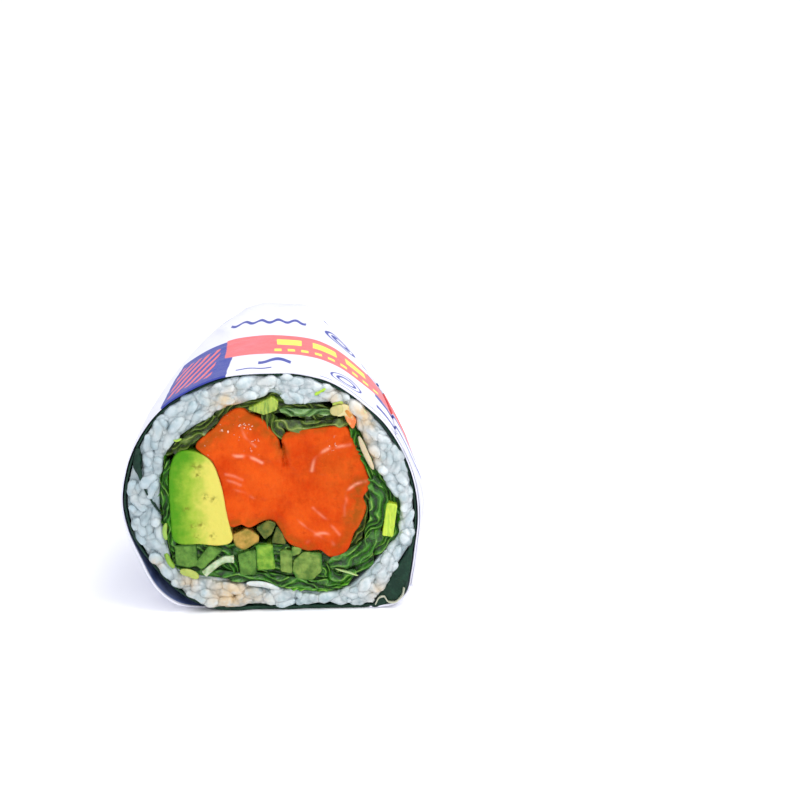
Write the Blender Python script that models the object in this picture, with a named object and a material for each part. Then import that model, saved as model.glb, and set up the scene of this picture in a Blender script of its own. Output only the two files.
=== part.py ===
"""Half of a sushi burrito in its paper, cut across and lying on its flattened underside.

The cut face looks along -Y and the folded end of the paper is at +Y. A cross section is a
loop of (x, z) points, and every layer and filling is such a loop carried back along Y while
it narrows towards the folded end. Sizes are in millimetres until a mesh is made in metres.
"""

import math

import bmesh
import bpy
import numpy as np

MM = 0.001

# Driving sizes
LENGTH = 96.0
PAPER = 0.35
NORI = 0.5
GAP = 0.3
AXIS_Z = 25.6
SIDES = 40
CURVE_STEPS = 24
SHARP_ANGLE = 40

# Narrowing towards the folded end
WIDTH_POWER = 2.0
WIDTH_ROOT = 1.7
FLAT_SHARE = 0.56
HEIGHT_POWER = 3.0
HEIGHT_ROOT = 2.0
END_SHARE = 0.975
SHRINK_PER_INSET = 1.3
SIDE_DRIFT = 0.035

# Folds and slack of the paper
PLEAT_DEPTH = 1.9
PLEAT_SIDES = 4
PLEAT_START = 0.62
PLEAT_RISE = 0.30
LOOSE_PAPER = 2.3
LOOSE_ANGLE = -2.46
LOOSE_SPREAD = 0.30
LOOSE_REACH = 40.0

# Lapped end of the paper on the right side
FLAP_FRONT = 0.2
FLAP_ROWS = 7
FLAP_FOOT = 4.0
FLAP_TOP = 43.0
FLAP_LENGTH = 54.0
FLAP_RIDGE = 1.3
FLAP_RIDGE_Z = 27.6
FLAP_RIDGE_SPREAD = 5.0

# Filling sizes
CAVITY_LENGTH = 87.0
FILLING_LENGTH = 84.5
FILLING_END = 0.95
FRONT = {
    "salmon": -0.6, "avocado": -0.4, "cucumber": -0.2, "green_stalk": -0.8, "scallion": -0.6, "sauce": -0.5,
}
SALMON_EDGE = 0.5
AVOCADO_EDGE = 0.45
STICK_EDGE = 0.2
STICK_CORNER = 0.45
THIN_CORNER = 0.4
CORNER_BULGE = 0.28
SALMON_POINTS = 56
AVOCADO_POINTS = 26

# Leaves and the pale strip
LEAF = 0.8
LEAF_STEP = 1.6
LEAF_WAVE = 0.12
LEAF_WAVE_TURN = 1.1
LEAF_WAVE_SHIFT = 2.0
LEAF_REACH = 1.0
RIPPLE_TURN = 1.9
STRIP = 1.2
STRIP_REACH = 0.8

# Rice grains on the cut face
GRAIN_LENGTH = 6.0
GRAIN_WIDTH = 2.8
GRAIN_SIDES = 6
GRAIN_RINGS = ((-0.27, 0.86), (0.27, 0.9))
OUTLINE_POINTS = 10
GRAIN_ROW = 2.75
GRAIN_STEP = 5.0
GRAIN_ROWS = 5
ROW_JITTER = 0.12
ROW_TURN = 0.8
RICE_FRONT = 0.6
GRAIN_LIFT = (-0.6, 0.15)
EDGE_ROOM = 0.1
ROW_POINTS = 240
GAP_TRIES = 1500
GAP_ROOM = 2.3
GAP_SIZE = 0.8
SEED = 7

# Outline of the rim, anticlockwise from the right as seen from the front
RIM = [
    (34.5, 22.5), (33.6, 30.7), (31.0, 38.4), (27.0, 45.2), (22.0, 50.3), (16.0, 54.8),
    (9.0, 57.5), (-1.0, 58.3), (-11.0, 57.3), (-19.8, 53.6), (-26.0, 48.9), (-30.8, 42.1),
    (-33.6, 34.8), (-34.6, 26.6), (-32.8, 18.8), (-28.6, 11.5), (-24.2, 6.1), (-19.0, 1.9),
    (-13.7, 0.2), (-6.0, 0.0), (8.0, 0.0), (22.0, 0.0), (28.4, 0.8), (31.7, 3.3),
    (32.9, 8.2), (33.7, 14.3),
]

# Hollow in the rice that holds the fillings, in the same order
CAVITY = [
    (30.0, 22.5), (29.8, 26.5), (26.9, 30.9), (24.3, 35.0), (21.4, 41.5), (19.8, 46.4),
    (17.6, 49.7), (14.6, 50.7), (8.0, 50.4), (3.8, 50.3), (2.8, 52.1), (0.4, 53.2),
    (-3.0, 51.8), (-7.0, 50.6), (-10.6, 49.8), (-13.6, 48.1), (-17.2, 45.6), (-20.9, 43.0),
    (-23.8, 39.5), (-25.2, 34.8), (-25.8, 28.6), (-25.6, 22.5), (-24.4, 16.9), (-23.4, 12.1),
    (-21.6, 10.5), (-17.2, 8.9), (-10.4, 7.6), (-5.6, 6.2), (1.2, 5.6), (6.4, 4.6),
    (11.4, 4.0), (16.8, 4.6), (21.4, 8.0), (26.0, 13.5), (28.9, 16.8), (29.9, 19.0),
]

# Chord across the lower right corner, where the end of the nori is folded in
FOLD_TOP = (31.9, 14.9)
FOLD_FOOT = (23.6, 1.4)

SALMON = [
    (13.4, 13.6), (15.4, 13.2), (17.5, 15.4), (18.8, 19.0), (20.2, 21.2), (21.6, 24.9),
    (20.9, 27.7), (22.4, 30.1), (22.2, 32.3), (20.3, 37.8), (18.5, 42.2), (16.7, 44.7),
    (12.0, 44.3), (8.0, 44.0), (4.2, 43.4), (2.8, 41.8), (2.6, 39.5), (1.7, 41.9),
    (0.1, 43.9), (-1.8, 46.4), (-4.4, 47.8), (-7.0, 49.2), (-10.1, 47.5), (-12.2, 44.9),
    (-14.9, 42.8), (-16.6, 40.9), (-15.7, 39.6), (-12.8, 37.0), (-11.1, 31.5), (-10.1, 25.6),
    (-9.4, 21.5), (-7.0, 22.0), (-5.0, 21.2), (-1.6, 22.7), (1.2, 22.0), (4.1, 17.2),
    (8.0, 15.2), (11.4, 15.1),
]

AVOCADO = [
    (-10.3, 17.7), (-10.4, 20.5), (-11.4, 26.3), (-12.4, 31.4), (-14.2, 36.6), (-17.4, 39.2),
    (-21.0, 39.1), (-22.8, 35.7), (-23.2, 30.7), (-23.0, 23.4), (-22.1, 17.8), (-15.8, 17.4),
]

# Cut sticks, as the corners of their cross sections
CUCUMBERS = [
    [(-18.0, 11.9), (-18.0, 16.6), (-22.3, 16.7), (-22.5, 12.2)],
    [(-16.0, 10.8), (-11.9, 16.3), (-14.6, 16.3), (-17.4, 12.2)],
    [(-6.3, 15.3), (-3.1, 17.9), (-5.4, 20.1), (-8.7, 18.2)],
    [(-4.4, 9.1), (-4.6, 14.6), (-7.7, 13.7), (-7.8, 8.9)],
    [(0.6, 10.5), (0.1, 16.4), (-3.9, 16.4), (-3.6, 10.4)],
    [(4.3, 9.4), (4.3, 14.7), (1.9, 15.2), (2.0, 9.7)],
    [(9.1, 7.6), (11.6, 9.4), (11.3, 13.5), (7.0, 13.7), (5.0, 11.6), (5.6, 8.2)],
    [(6.3, 14.0), (6.7, 15.0), (4.8, 15.6), (4.7, 13.1)],
    [(-1.4, 17.1), (0.3, 20.9), (-0.7, 21.7), (-3.8, 21.0), (-2.6, 18.8)],
    [(0.1, 17.0), (3.1, 16.7), (2.2, 19.0), (1.1, 20.7)],
]

GREEN_STALK = [(28.0, 18.1), (29.1, 25.6), (27.0, 26.0), (25.9, 18.5)]
SCALLION = [(1.6, 49.3), (2.0, 51.3), (0.6, 52.4), (-4.9, 49.7), (-1.4, 48.3)]
SAUCE = [(17.5, 46.1), (18.9, 45.9), (18.4, 48.0), (16.9, 49.2), (15.5, 49.5), (15.7, 47.4)]
PALE_STRIP = [(-16.0, 9.5), (-13.4, 10.7), (-10.9, 12.5), (-9.4, 12.4)]

# Leaves, as the paths that their edges draw on the cut face
LEAVES = {
    "lettuce_left": [(-23.3, 17.4), (-24.0, 21.5), (-24.4, 28.6), (-24.0, 34.8), (-23.1, 38.0)],
    "lettuce_top_left": [(-22.1, 40.8), (-19.4, 42.1), (-16.6, 44.2), (-13.9, 46.0), (-12.1, 47.0)],
    "lettuce_top_inner": [(2.4, 45.3), (6.0, 45.5), (10.0, 45.9), (14.4, 46.3)],
    "lettuce_top_outer": [(4.0, 49.0), (8.0, 48.2), (11.5, 48.6), (14.2, 48.4)],
    "lettuce_right": [(19.4, 44.4), (20.0, 41.9), (21.7, 37.8), (23.2, 34.0)],
    "lettuce_right_folds": [
        (24.6, 31.9), (25.9, 29.0), (23.2, 27.2), (25.7, 25.0), (22.9, 22.9), (25.0, 20.9),
        (21.7, 19.3), (24.3, 17.4), (20.8, 16.2),
    ],
    "lettuce_lower_folds": [
        (25.0, 15.1), (20.6, 13.7), (22.6, 11.9), (17.6, 12.2), (19.6, 9.6), (15.2, 10.6),
        (16.2, 7.4), (13.2, 8.8),
    ],
    "lettuce_bottom": [
        (-12.0, 9.8), (-8.6, 7.5), (-4.6, 7.8), (-1.0, 7.2), (2.4, 7.9), (5.6, 6.3),
        (9.4, 5.7), (12.6, 6.1),
    ],
}

# Name, colour, roughness of each material
COLOURS = {
    "paper": ((0.86, 0.86, 0.90), 0.55),
    "nori": ((0.012, 0.045, 0.030), 0.35),
    "rice": ((0.68, 0.76, 0.78), 0.35),
    "salmon": ((0.86, 0.10, 0.01), 0.25),
    "avocado": ((0.52, 0.66, 0.09), 0.45),
    "cucumber": ((0.22, 0.42, 0.08), 0.30),
    "lettuce": ((0.06, 0.24, 0.02), 0.40),
    "green_stalk": ((0.60, 0.80, 0.04), 0.35),
    "pale_strip": ((0.72, 0.78, 0.62), 0.35),
    "sauce": ((0.90, 0.42, 0.10), 0.30),
}

FILLING_STATIONS = [0.16, 0.36, 0.55, 0.70, 0.83, FILLING_END]
PAPER_STATIONS = [0.10, 0.25, 0.42, 0.56, 0.66, 0.75, 0.83, 0.90, 0.95, END_SHARE]
LAYER_STATIONS = [0.28, 0.56, 0.74, 0.88, END_SHARE]


def clear_scene():
    """Removes every object that the file opened with."""
    for thing in list(bpy.data.objects):
        bpy.data.objects.remove(thing)


def material(name):
    """The Principled material of that name, made once."""
    found = bpy.data.materials.get(name)
    if found:
        return found
    colour, roughness = COLOURS[name]
    made = bpy.data.materials.new(name)
    made.use_nodes = True
    shader = made.node_tree.nodes["Principled BSDF"]
    shader.inputs["Base Color"].default_value = (*colour, 1.0)
    shader.inputs["Roughness"].default_value = roughness
    shader.inputs["Metallic"].default_value = 0.0
    return made


def make_object(name, points, faces, surface):
    """An object from points in millimetres, with all its faces turned outwards."""
    mesh = bpy.data.meshes.new(name)
    mesh.from_pydata((np.asarray(points) * MM).tolist(), [], faces)
    mesh.materials.append(material(surface))
    made = bpy.data.objects.new(name, mesh)
    bpy.context.scene.collection.objects.link(made)
    bpy.context.view_layer.objects.active = made
    made.select_set(True)
    bpy.ops.object.mode_set(mode="EDIT")
    bpy.ops.mesh.select_all(action="SELECT")
    bpy.ops.mesh.normals_make_consistent(inside=False)
    bpy.ops.object.mode_set(mode="OBJECT")
    made.select_set(False)
    mesh.shade_smooth()
    mesh.set_sharp_from_angle(angle=math.radians(SHARP_ANGLE))
    return made


def catmull_rom(points, steps, closed):
    """A smooth curve through points, with that many steps between two of them."""
    points = np.asarray(points, float)
    count = len(points)
    spans = count if closed else count - 1
    where = np.arange(spans * steps + (0 if closed else 1)) / steps
    base = np.minimum(where.astype(int), spans - 1)
    part = (where - base)[:, None]
    index = [base - 1, base, base + 1, base + 2]
    if closed:
        p0, p1, p2, p3 = (points[i % count] for i in index)
    else:
        p0, p1, p2, p3 = (points[np.clip(i, 0, count - 1)] for i in index)
    return 0.5 * (
        2 * p1
        + (p2 - p0) * part
        + (2 * p0 - 5 * p1 + 4 * p2 - p3) * part**2
        + (3 * p1 - p0 - 3 * p2 + p3) * part**3
    )


def even_points(points, count, closed=True):
    """The smooth curve through points, cut into count points an even distance apart."""
    dense = catmull_rom(points, CURVE_STEPS, closed)
    if closed:
        dense = np.vstack([dense, dense[:1]])
    run = np.concatenate([[0], np.cumsum(np.linalg.norm(np.diff(dense, axis=0), axis=1))])
    at = np.linspace(0, run[-1], count + 1)[:-1] if closed else np.linspace(0, run[-1], count)
    return np.stack([np.interp(at, run, dense[:, k]) for k in (0, 1)], axis=1)


def outward(points, closed=True):
    """Unit vectors to the right of the way along the points, which is outwards on a loop."""
    points = np.asarray(points, float)
    if closed:
        along = np.roll(points, -1, axis=0) - np.roll(points, 1, axis=0)
    else:
        along = np.gradient(points, axis=0)
    along /= np.linalg.norm(along, axis=1)[:, None]
    return np.stack([along[:, 1], -along[:, 0]], axis=1)


def inset(loop, distance):
    """The loop moved inwards by a distance, which may differ from point to point."""
    return loop - outward(loop) * np.reshape(distance, (-1, 1))


def rounded_corners(corners, radius):
    """A polygon with each corner cut back and given a middle point, like a worn edge."""
    corners = np.asarray(corners, float)
    loop = []
    for here, before, after in zip(corners, np.roll(corners, 1, 0), np.roll(corners, -1, 0)):
        back = (before - here) / np.linalg.norm(before - here)
        ahead = (after - here) / np.linalg.norm(after - here)
        loop += [here + back * radius, here + (back + ahead) * radius * CORNER_BULGE, here + ahead * radius]
    return np.array(loop)


def tip_shares(depth, length):
    """How much of its width and of its height a layer of that length keeps at a depth."""
    share = max(depth / length, 0.0)
    width = (1 - share**WIDTH_POWER) ** (1 / WIDTH_ROOT)
    fall = max((share - FLAT_SHARE) / (1 - FLAT_SHARE), 0.0)
    height = (1 - fall**HEIGHT_POWER) ** (1 / HEIGHT_ROOT)
    return width, height


def ring(loop, depth, length):
    """The loop at a depth, drawn in towards the axis of the burrito, which drifts to the right."""
    width, height = tip_shares(depth, length)
    x = loop[:, 0] * width + SIDE_DRIFT * max(depth, 0.0)
    z = AXIS_Z + (loop[:, 1] - AXIS_Z) * height
    return np.stack([x, np.full(len(loop), depth), z], axis=1)


def grid_faces(rows, count, start=0):
    """Quads between closed rows of count points, the first point being number start."""
    faces = []
    for row in range(rows - 1):
        for i in range(count):
            j = (i + 1) % count
            a = start + row * count
            faces.append((a + i, a + j, a + count + j, a + count + i))
    return faces


def cup(name, outer, inner, surface):
    """A closed wall: rings of its outside and of its inside, joined at the front."""
    count = len(outer[0])
    points = np.vstack(outer + inner)
    begin = len(outer) * count
    faces = grid_faces(len(outer), count)
    faces += grid_faces(len(inner), count, begin)
    for i in range(count):
        j = (i + 1) % count
        faces.append((i, j, begin + j, begin + i))
    faces.append(tuple(range(begin - count, begin)))
    faces.append(tuple(range(len(points) - count, len(points))))
    return make_object(name, points, faces, surface)


def bar(name, loop, surface, front, edge):
    """A filling that runs back from the cut face, with softened edges round its front."""
    rings = [ring(inset(loop, edge), front, FILLING_LENGTH)]
    rings.append(ring(loop, front + edge, FILLING_LENGTH))
    rings += [ring(loop, share * FILLING_LENGTH, FILLING_LENGTH) for share in FILLING_STATIONS]
    count = len(loop)
    faces = grid_faces(len(rings), count)
    faces.append(tuple(range(count)))
    faces.append(tuple(range((len(rings) - 1) * count, len(rings) * count)))
    return make_object(name, np.vstack(rings), faces, surface)


def leaf(name, path, surface="lettuce", thickness=LEAF, reach=LEAF_REACH):
    """A thin sheet whose edge draws the path, with ripples along its front edge."""
    run = np.linalg.norm(np.diff(np.asarray(path), axis=0), axis=1).sum()
    count = max(6, int(run / LEAF_STEP))
    middle = even_points(path, count, closed=False)
    side = outward(middle, closed=False)
    ripple = np.sin(np.arange(count) * RIPPLE_TURN)
    rows = []
    for k, share in enumerate([0.0] + FILLING_STATIONS):
        turn = np.arange(count) * LEAF_WAVE_TURN + k * LEAF_WAVE_SHIFT
        wave = LEAF_WAVE * np.sin(turn)[:, None] * side
        sheet = [middle + wave + side * thickness * half for half in (0.5, -0.5)]
        loop = np.vstack([sheet[0], sheet[1][::-1]])
        row = ring(loop, share * FILLING_LENGTH, FILLING_LENGTH)
        if k == 0:
            row[:, 1] -= reach * 0.5 * np.concatenate([1 + ripple, (1 + ripple)[::-1]])
        rows.append(row)
    count *= 2
    faces = grid_faces(len(rows), count)
    half = count // 2
    for base in (0, (len(rows) - 1) * count):
        for i in range(half - 1):
            faces.append((base + i, base + i + 1, base + count - 2 - i, base + count - 1 - i))
    return make_object(name, np.vstack(rows), faces, surface)


def behind_chord(loop, shift):
    """The loop with its lower right corner pressed flat on the chord of the nori's fold."""
    top = np.array(FOLD_TOP)
    foot = np.array(FOLD_FOOT)
    way = (top - foot) / np.linalg.norm(top - foot)
    out = np.array([way[1], -way[0]])
    over = np.maximum((loop - foot) @ out - shift, 0.0)
    return loop - over[:, None] * out


def loose_corner(loop, depth):
    """How far the paper stands off the roll at the lower left, where it doesn't hug it."""
    angle = np.arctan2(loop[:, 1] - AXIS_Z, loop[:, 0])
    lower_left = np.exp(-(((angle - LOOSE_ANGLE) / LOOSE_SPREAD) ** 2))
    return LOOSE_PAPER * lower_left * math.exp(-depth / LOOSE_REACH)


def pleats(count, depth):
    """Folds of the gathered paper, deepening towards the end and standing outwards only."""
    rise = min(max((depth / LENGTH - PLEAT_START) / PLEAT_RISE, 0.0), 1.0)
    fold = np.abs((np.arange(count) * 2 / PLEAT_SIDES) % 2 - 1)
    return PLEAT_DEPTH * rise * fold


def paper_ring(rim, depth, thickness_in):
    """A ring of the paper's surface, that far inside its outer face, above the table."""
    length = LENGTH - SHRINK_PER_INSET * thickness_in
    loop = ring(inset(rim, thickness_in - loose_corner(rim, depth)), depth, length)
    stand = outward(loop[:, [0, 2]]) * pleats(len(rim), depth)[:, None]
    loop[:, [0, 2]] += stand
    loop[:, 2] = np.maximum(loop[:, 2], thickness_in)
    return loop


def make_wrapper(rim):
    """The paper: a thin cup with an open front and a gathered end."""
    sheets = []
    for thickness_in in (0.0, PAPER):
        length = LENGTH - SHRINK_PER_INSET * thickness_in
        depths = [0.0, 2.0] + [share * length for share in PAPER_STATIONS]
        sheets.append([paper_ring(rim, depth, thickness_in) for depth in depths])
    cup("wrapper", sheets[0], sheets[1], "paper")


def make_wrapper_flap(rim):
    """The paper's free end, lapped over the right side with a ridge along it."""
    keep = (rim[:, 0] > 0.0) & (rim[:, 1] > FLAP_FOOT) & (rim[:, 1] < FLAP_TOP)
    numbers = np.flatnonzero(keep)
    numbers = np.concatenate([numbers[numbers > SIDES // 2], numbers[numbers <= SIDES // 2]])
    height = rim[numbers, 1]
    ridge = FLAP_RIDGE * np.exp(-(((height - FLAP_RIDGE_Z) / FLAP_RIDGE_SPREAD) ** 2))
    count = len(numbers)
    rows = []
    for depth in np.linspace(FLAP_FRONT, FLAP_LENGTH, FLAP_ROWS):
        stand = GAP + ridge * math.exp(-depth / LOOSE_REACH)
        faces_of_sheet = []
        for out in (stand, stand + PAPER):
            spread = np.zeros(len(rim))
            spread[numbers] = out
            faces_of_sheet.append(ring(inset(rim, -spread), depth, LENGTH)[numbers])
        rows.append(np.vstack([faces_of_sheet[0], faces_of_sheet[1][::-1]]))
    faces = grid_faces(len(rows), 2 * count)
    for base in (0, (len(rows) - 1) * 2 * count):
        for i in range(count - 1):
            faces.append((base + i, base + i + 1, base + 2 * count - 2 - i, base + 2 * count - 1 - i))
    make_object("wrapper_flap", np.vstack(rows), faces, "paper")


def layer_rings(loop, inset_from_rim, front):
    """Rings of a layer from its front to its far end."""
    length = LENGTH - SHRINK_PER_INSET * inset_from_rim
    depths = [front] + [share * length for share in LAYER_STATIONS]
    return [ring(loop, depth, length) for depth in depths]


def make_nori(rim):
    """The seaweed sheet, thick in the lower right corner where its end is folded."""
    outer_inset = PAPER + GAP
    inner_inset = outer_inset + NORI
    outer = layer_rings(inset(rim, outer_inset), outer_inset, 0.0)
    folded = behind_chord(inset(rim, inner_inset), GAP)
    inner = layer_rings(folded, inner_inset, 0.0)
    cup("nori", outer, inner, "nori")


def rice_outside(rim):
    """The cross section of the rice's outer side."""
    return behind_chord(inset(rim, PAPER + NORI + 2 * GAP), 0.0)


def match_angles(loop, other):
    """Points of the other loop that lie at the same angles round the axis as the loop's."""
    centre = np.array([0.0, AXIS_Z])
    wanted = np.arctan2(*(loop - centre).T[::-1])
    spoke = other - centre
    angle = np.arctan2(spoke[:, 1], spoke[:, 0])
    order = np.argsort(angle)
    reach = np.interp(wanted, angle[order], np.linalg.norm(spoke, axis=1)[order], period=2 * math.pi)
    return centre + np.stack([np.cos(wanted), np.sin(wanted)], axis=1) * reach[:, None]


def room_inside(points, loop):
    """Distance from each point to the loop, counted as less than nothing outside it."""
    start = loop
    step = np.roll(loop, -1, axis=0) - start
    gap = points[:, None, :] - start[None, :, :]
    along = np.clip((gap * step).sum(2) / (step * step).sum(1), 0, 1)
    distance = np.linalg.norm(gap - along[..., None] * step, axis=2).min(1)
    rises = (start[:, 1] > points[:, None, 1]) != (np.roll(start[:, 1], -1) > points[:, None, 1])
    slope = np.where(step[:, 1] == 0, 1e-9, step[:, 1])
    cross = start[:, 0] + (points[:, None, 1] - start[:, 1]) * step[:, 0] / slope
    within = (rises & (points[:, None, 0] < cross)).sum(1) % 2 == 1
    return np.where(within, distance, -distance)


def grain_outline(place, angle, size):
    """Points round a grain's widest section on the cut face."""
    turn = np.linspace(0, 2 * math.pi, OUTLINE_POINTS, endpoint=False)
    flat = np.stack([np.cos(turn) * GRAIN_LENGTH, np.sin(turn) * GRAIN_WIDTH], axis=1) * size / 2
    rotation = np.array([[math.cos(angle), math.sin(angle)], [-math.sin(angle), math.cos(angle)]])
    return place + flat @ rotation


def grain_fits(place, angle, size, outside, cavity):
    """Whether a grain stays on the ring of rice, clear of both of its edges."""
    outline = grain_outline(place, angle, size)
    inside_ring = room_inside(outline, outside).min() > EDGE_ROOM
    return inside_ring and room_inside(outline, cavity).max() < -EDGE_ROOM


def grain_rows(outside, cavity, random):
    """Rows of grains that follow the rice's outer side, turned a little each way."""
    places = []
    dense = even_points(outside, ROW_POINTS)
    for row in range(GRAIN_ROWS):
        loop = inset(dense, GRAIN_WIDTH / 2 + EDGE_ROOM + row * GRAIN_ROW)
        run = np.concatenate([[0], np.cumsum(np.linalg.norm(np.diff(loop, axis=0), axis=1))])
        count = int(run[-1] / GRAIN_STEP)
        for k in range(count):
            at = (k + 0.5 * (row % 2) + random.uniform(-ROW_JITTER, ROW_JITTER)) * run[-1] / count
            i = int(np.searchsorted(run, at % run[-1]))
            way = loop[(i + 1) % ROW_POINTS] - loop[i - 1]
            tangent = math.atan2(way[1], way[0])
            for turn, size in ((random.uniform(-ROW_TURN, ROW_TURN), 1.0), (0.0, 0.96), (0.0, 0.82)):
                if grain_fits(loop[i], tangent + turn, size, outside, cavity):
                    places.append((loop[i], tangent + turn, size))
                    break
    return places


def grain_gaps(places, outside, cavity, random):
    """Smaller grains at any turn in the bare spots that the rows leave."""
    low = outside.min(axis=0)
    high = outside.max(axis=0)
    for _ in range(GAP_TRIES):
        place = random.uniform(low, high)
        angle = random.uniform(0, math.pi)
        nearest = min(np.linalg.norm(place - other[0]) for other in places)
        if nearest > GAP_ROOM and grain_fits(place, angle, GAP_SIZE, outside, cavity):
            places.append((place, angle, GAP_SIZE))
    return places


def make_grain(place, angle, size, lift):
    """One grain as a faceted pod lying on the cut face."""
    turn = np.arange(GRAIN_SIDES) * 2 * math.pi / GRAIN_SIDES
    points = [(-GRAIN_LENGTH * size / 2, 0.0, 0.0)]
    for x, share in GRAIN_RINGS:
        for a in turn:
            radius = GRAIN_WIDTH * size / 2 * share
            points.append((x * GRAIN_LENGTH * size, math.sin(a) * radius, math.cos(a) * radius))
    points.append((GRAIN_LENGTH * size / 2, 0.0, 0.0))
    points = np.array(points)
    x = points[:, 0] * math.cos(angle) - points[:, 2] * math.sin(angle) + place[0]
    z = points[:, 0] * math.sin(angle) + points[:, 2] * math.cos(angle) + place[1]
    y = points[:, 1] + RICE_FRONT + lift
    last = len(points) - 1
    faces = grid_faces(2, GRAIN_SIDES, 1)
    for i in range(GRAIN_SIDES):
        j = (i + 1) % GRAIN_SIDES
        faces.append((0, 1 + j, 1 + i))
        faces.append((last, last - GRAIN_SIDES + i, last - GRAIN_SIDES + j))
    return make_object("grain", np.stack([x, y, z], axis=1), faces, "rice")


def keep_largest_shell(mesh):
    """Fills the pockets that grains have sealed and drops scraps, as both are shells of their own."""
    shape = bmesh.new()
    shape.from_mesh(mesh)
    left = set(shape.verts)
    shells = []
    while left:
        shell = {left.pop()}
        edge_of_search = list(shell)
        while edge_of_search:
            vertex = edge_of_search.pop()
            fresh = {edge.other_vert(vertex) for edge in vertex.link_edges} - shell
            shell |= fresh
            edge_of_search += fresh
        left -= shell
        shells.append(shell)
    shells.sort(key=len)
    for shell in shells[:-1]:
        bmesh.ops.delete(shape, geom=list(shell), context="VERTS")
    shape.to_mesh(mesh)
    shape.free()


def join_grains(core, grains):
    """Fuses the grains to the core in one union and removes their own objects."""
    group = bpy.data.collections.new("grain_pieces")
    bpy.context.scene.collection.children.link(group)
    for grain in grains:
        bpy.context.scene.collection.objects.unlink(grain)
        group.objects.link(grain)
    join = core.modifiers.new("join_grains", "BOOLEAN")
    join.operation = "UNION"
    join.operand_type = "COLLECTION"
    join.collection = group
    bpy.context.view_layer.objects.active = core
    bpy.ops.object.modifier_apply(modifier=join.name)
    for grain in grains:
        bpy.data.objects.remove(grain)
    bpy.data.collections.remove(group)
    keep_largest_shell(core.data)


def make_rice(rim):
    """The rice: a thick cup with its grains showing on the cut face."""
    outside = rice_outside(rim)
    rice_inset = PAPER + NORI + 2 * GAP
    hollow = match_angles(outside, catmull_rom(CAVITY, CURVE_STEPS, True))
    outer = layer_rings(outside, rice_inset, RICE_FRONT)
    depths = [RICE_FRONT] + [share * CAVITY_LENGTH for share in FILLING_STATIONS]
    inner = [ring(hollow, depth, CAVITY_LENGTH) for depth in depths]
    core = cup("rice", outer, inner, "rice")
    random = np.random.default_rng(SEED)
    places = grain_gaps(grain_rows(outside, hollow, random), outside, hollow, random)
    grains = [make_grain(*place, random.uniform(*GRAIN_LIFT)) for place in places]
    join_grains(core, grains)


def make_fillings():
    """Everything inside the rice, each piece running back from the cut face."""
    bar("salmon", even_points(SALMON, SALMON_POINTS), "salmon", FRONT["salmon"], SALMON_EDGE)
    bar("avocado", even_points(AVOCADO, AVOCADO_POINTS), "avocado", FRONT["avocado"], AVOCADO_EDGE)
    for number, corners in enumerate(CUCUMBERS, start=1):
        loop = rounded_corners(corners, STICK_CORNER)
        bar(f"cucumber_{number}", loop, "cucumber", FRONT["cucumber"], STICK_EDGE)
    for name, corners, surface in (
        ("green_stalk", GREEN_STALK, "green_stalk"),
        ("scallion", SCALLION, "green_stalk"),
        ("sauce", SAUCE, "sauce"),
    ):
        bar(name, rounded_corners(corners, THIN_CORNER), surface, FRONT[name], STICK_EDGE)
    leaf("pale_strip", PALE_STRIP, "pale_strip", STRIP, STRIP_REACH)
    for name, path in LEAVES.items():
        leaf(name, path)


def centre_on_origin():
    """Moves everything so that the origin is under the middle of the whole, at its foot."""
    things = [thing for thing in bpy.data.objects if thing.type == "MESH"]
    corners = []
    for thing in things:
        spots = np.zeros(len(thing.data.vertices) * 3)
        thing.data.vertices.foreach_get("co", spots)
        corners += [spots.reshape(-1, 3).min(0), spots.reshape(-1, 3).max(0)]
    low = np.min(corners, axis=0)
    high = np.max(corners, axis=0)
    shift = (low + high) / 2
    for thing in things:
        thing.location = (-shift[0], -shift[1], -low[2])


def main():
    clear_scene()
    rim = even_points(RIM, SIDES)
    make_wrapper(rim)
    make_wrapper_flap(rim)
    make_nori(rim)
    make_rice(rim)
    make_fillings()
    centre_on_origin()


main()
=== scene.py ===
"""The looks of half a sushi burrito in its printed paper, laid out as a Blender add-on.

Every new piece is a grid of points worked out with numpy: a cross section of (x, z) points
in millimetres that is carried back along Y, narrowing towards the folded end. The cut face
is at depth 0 and looks along -Y.
"""

import math

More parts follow.
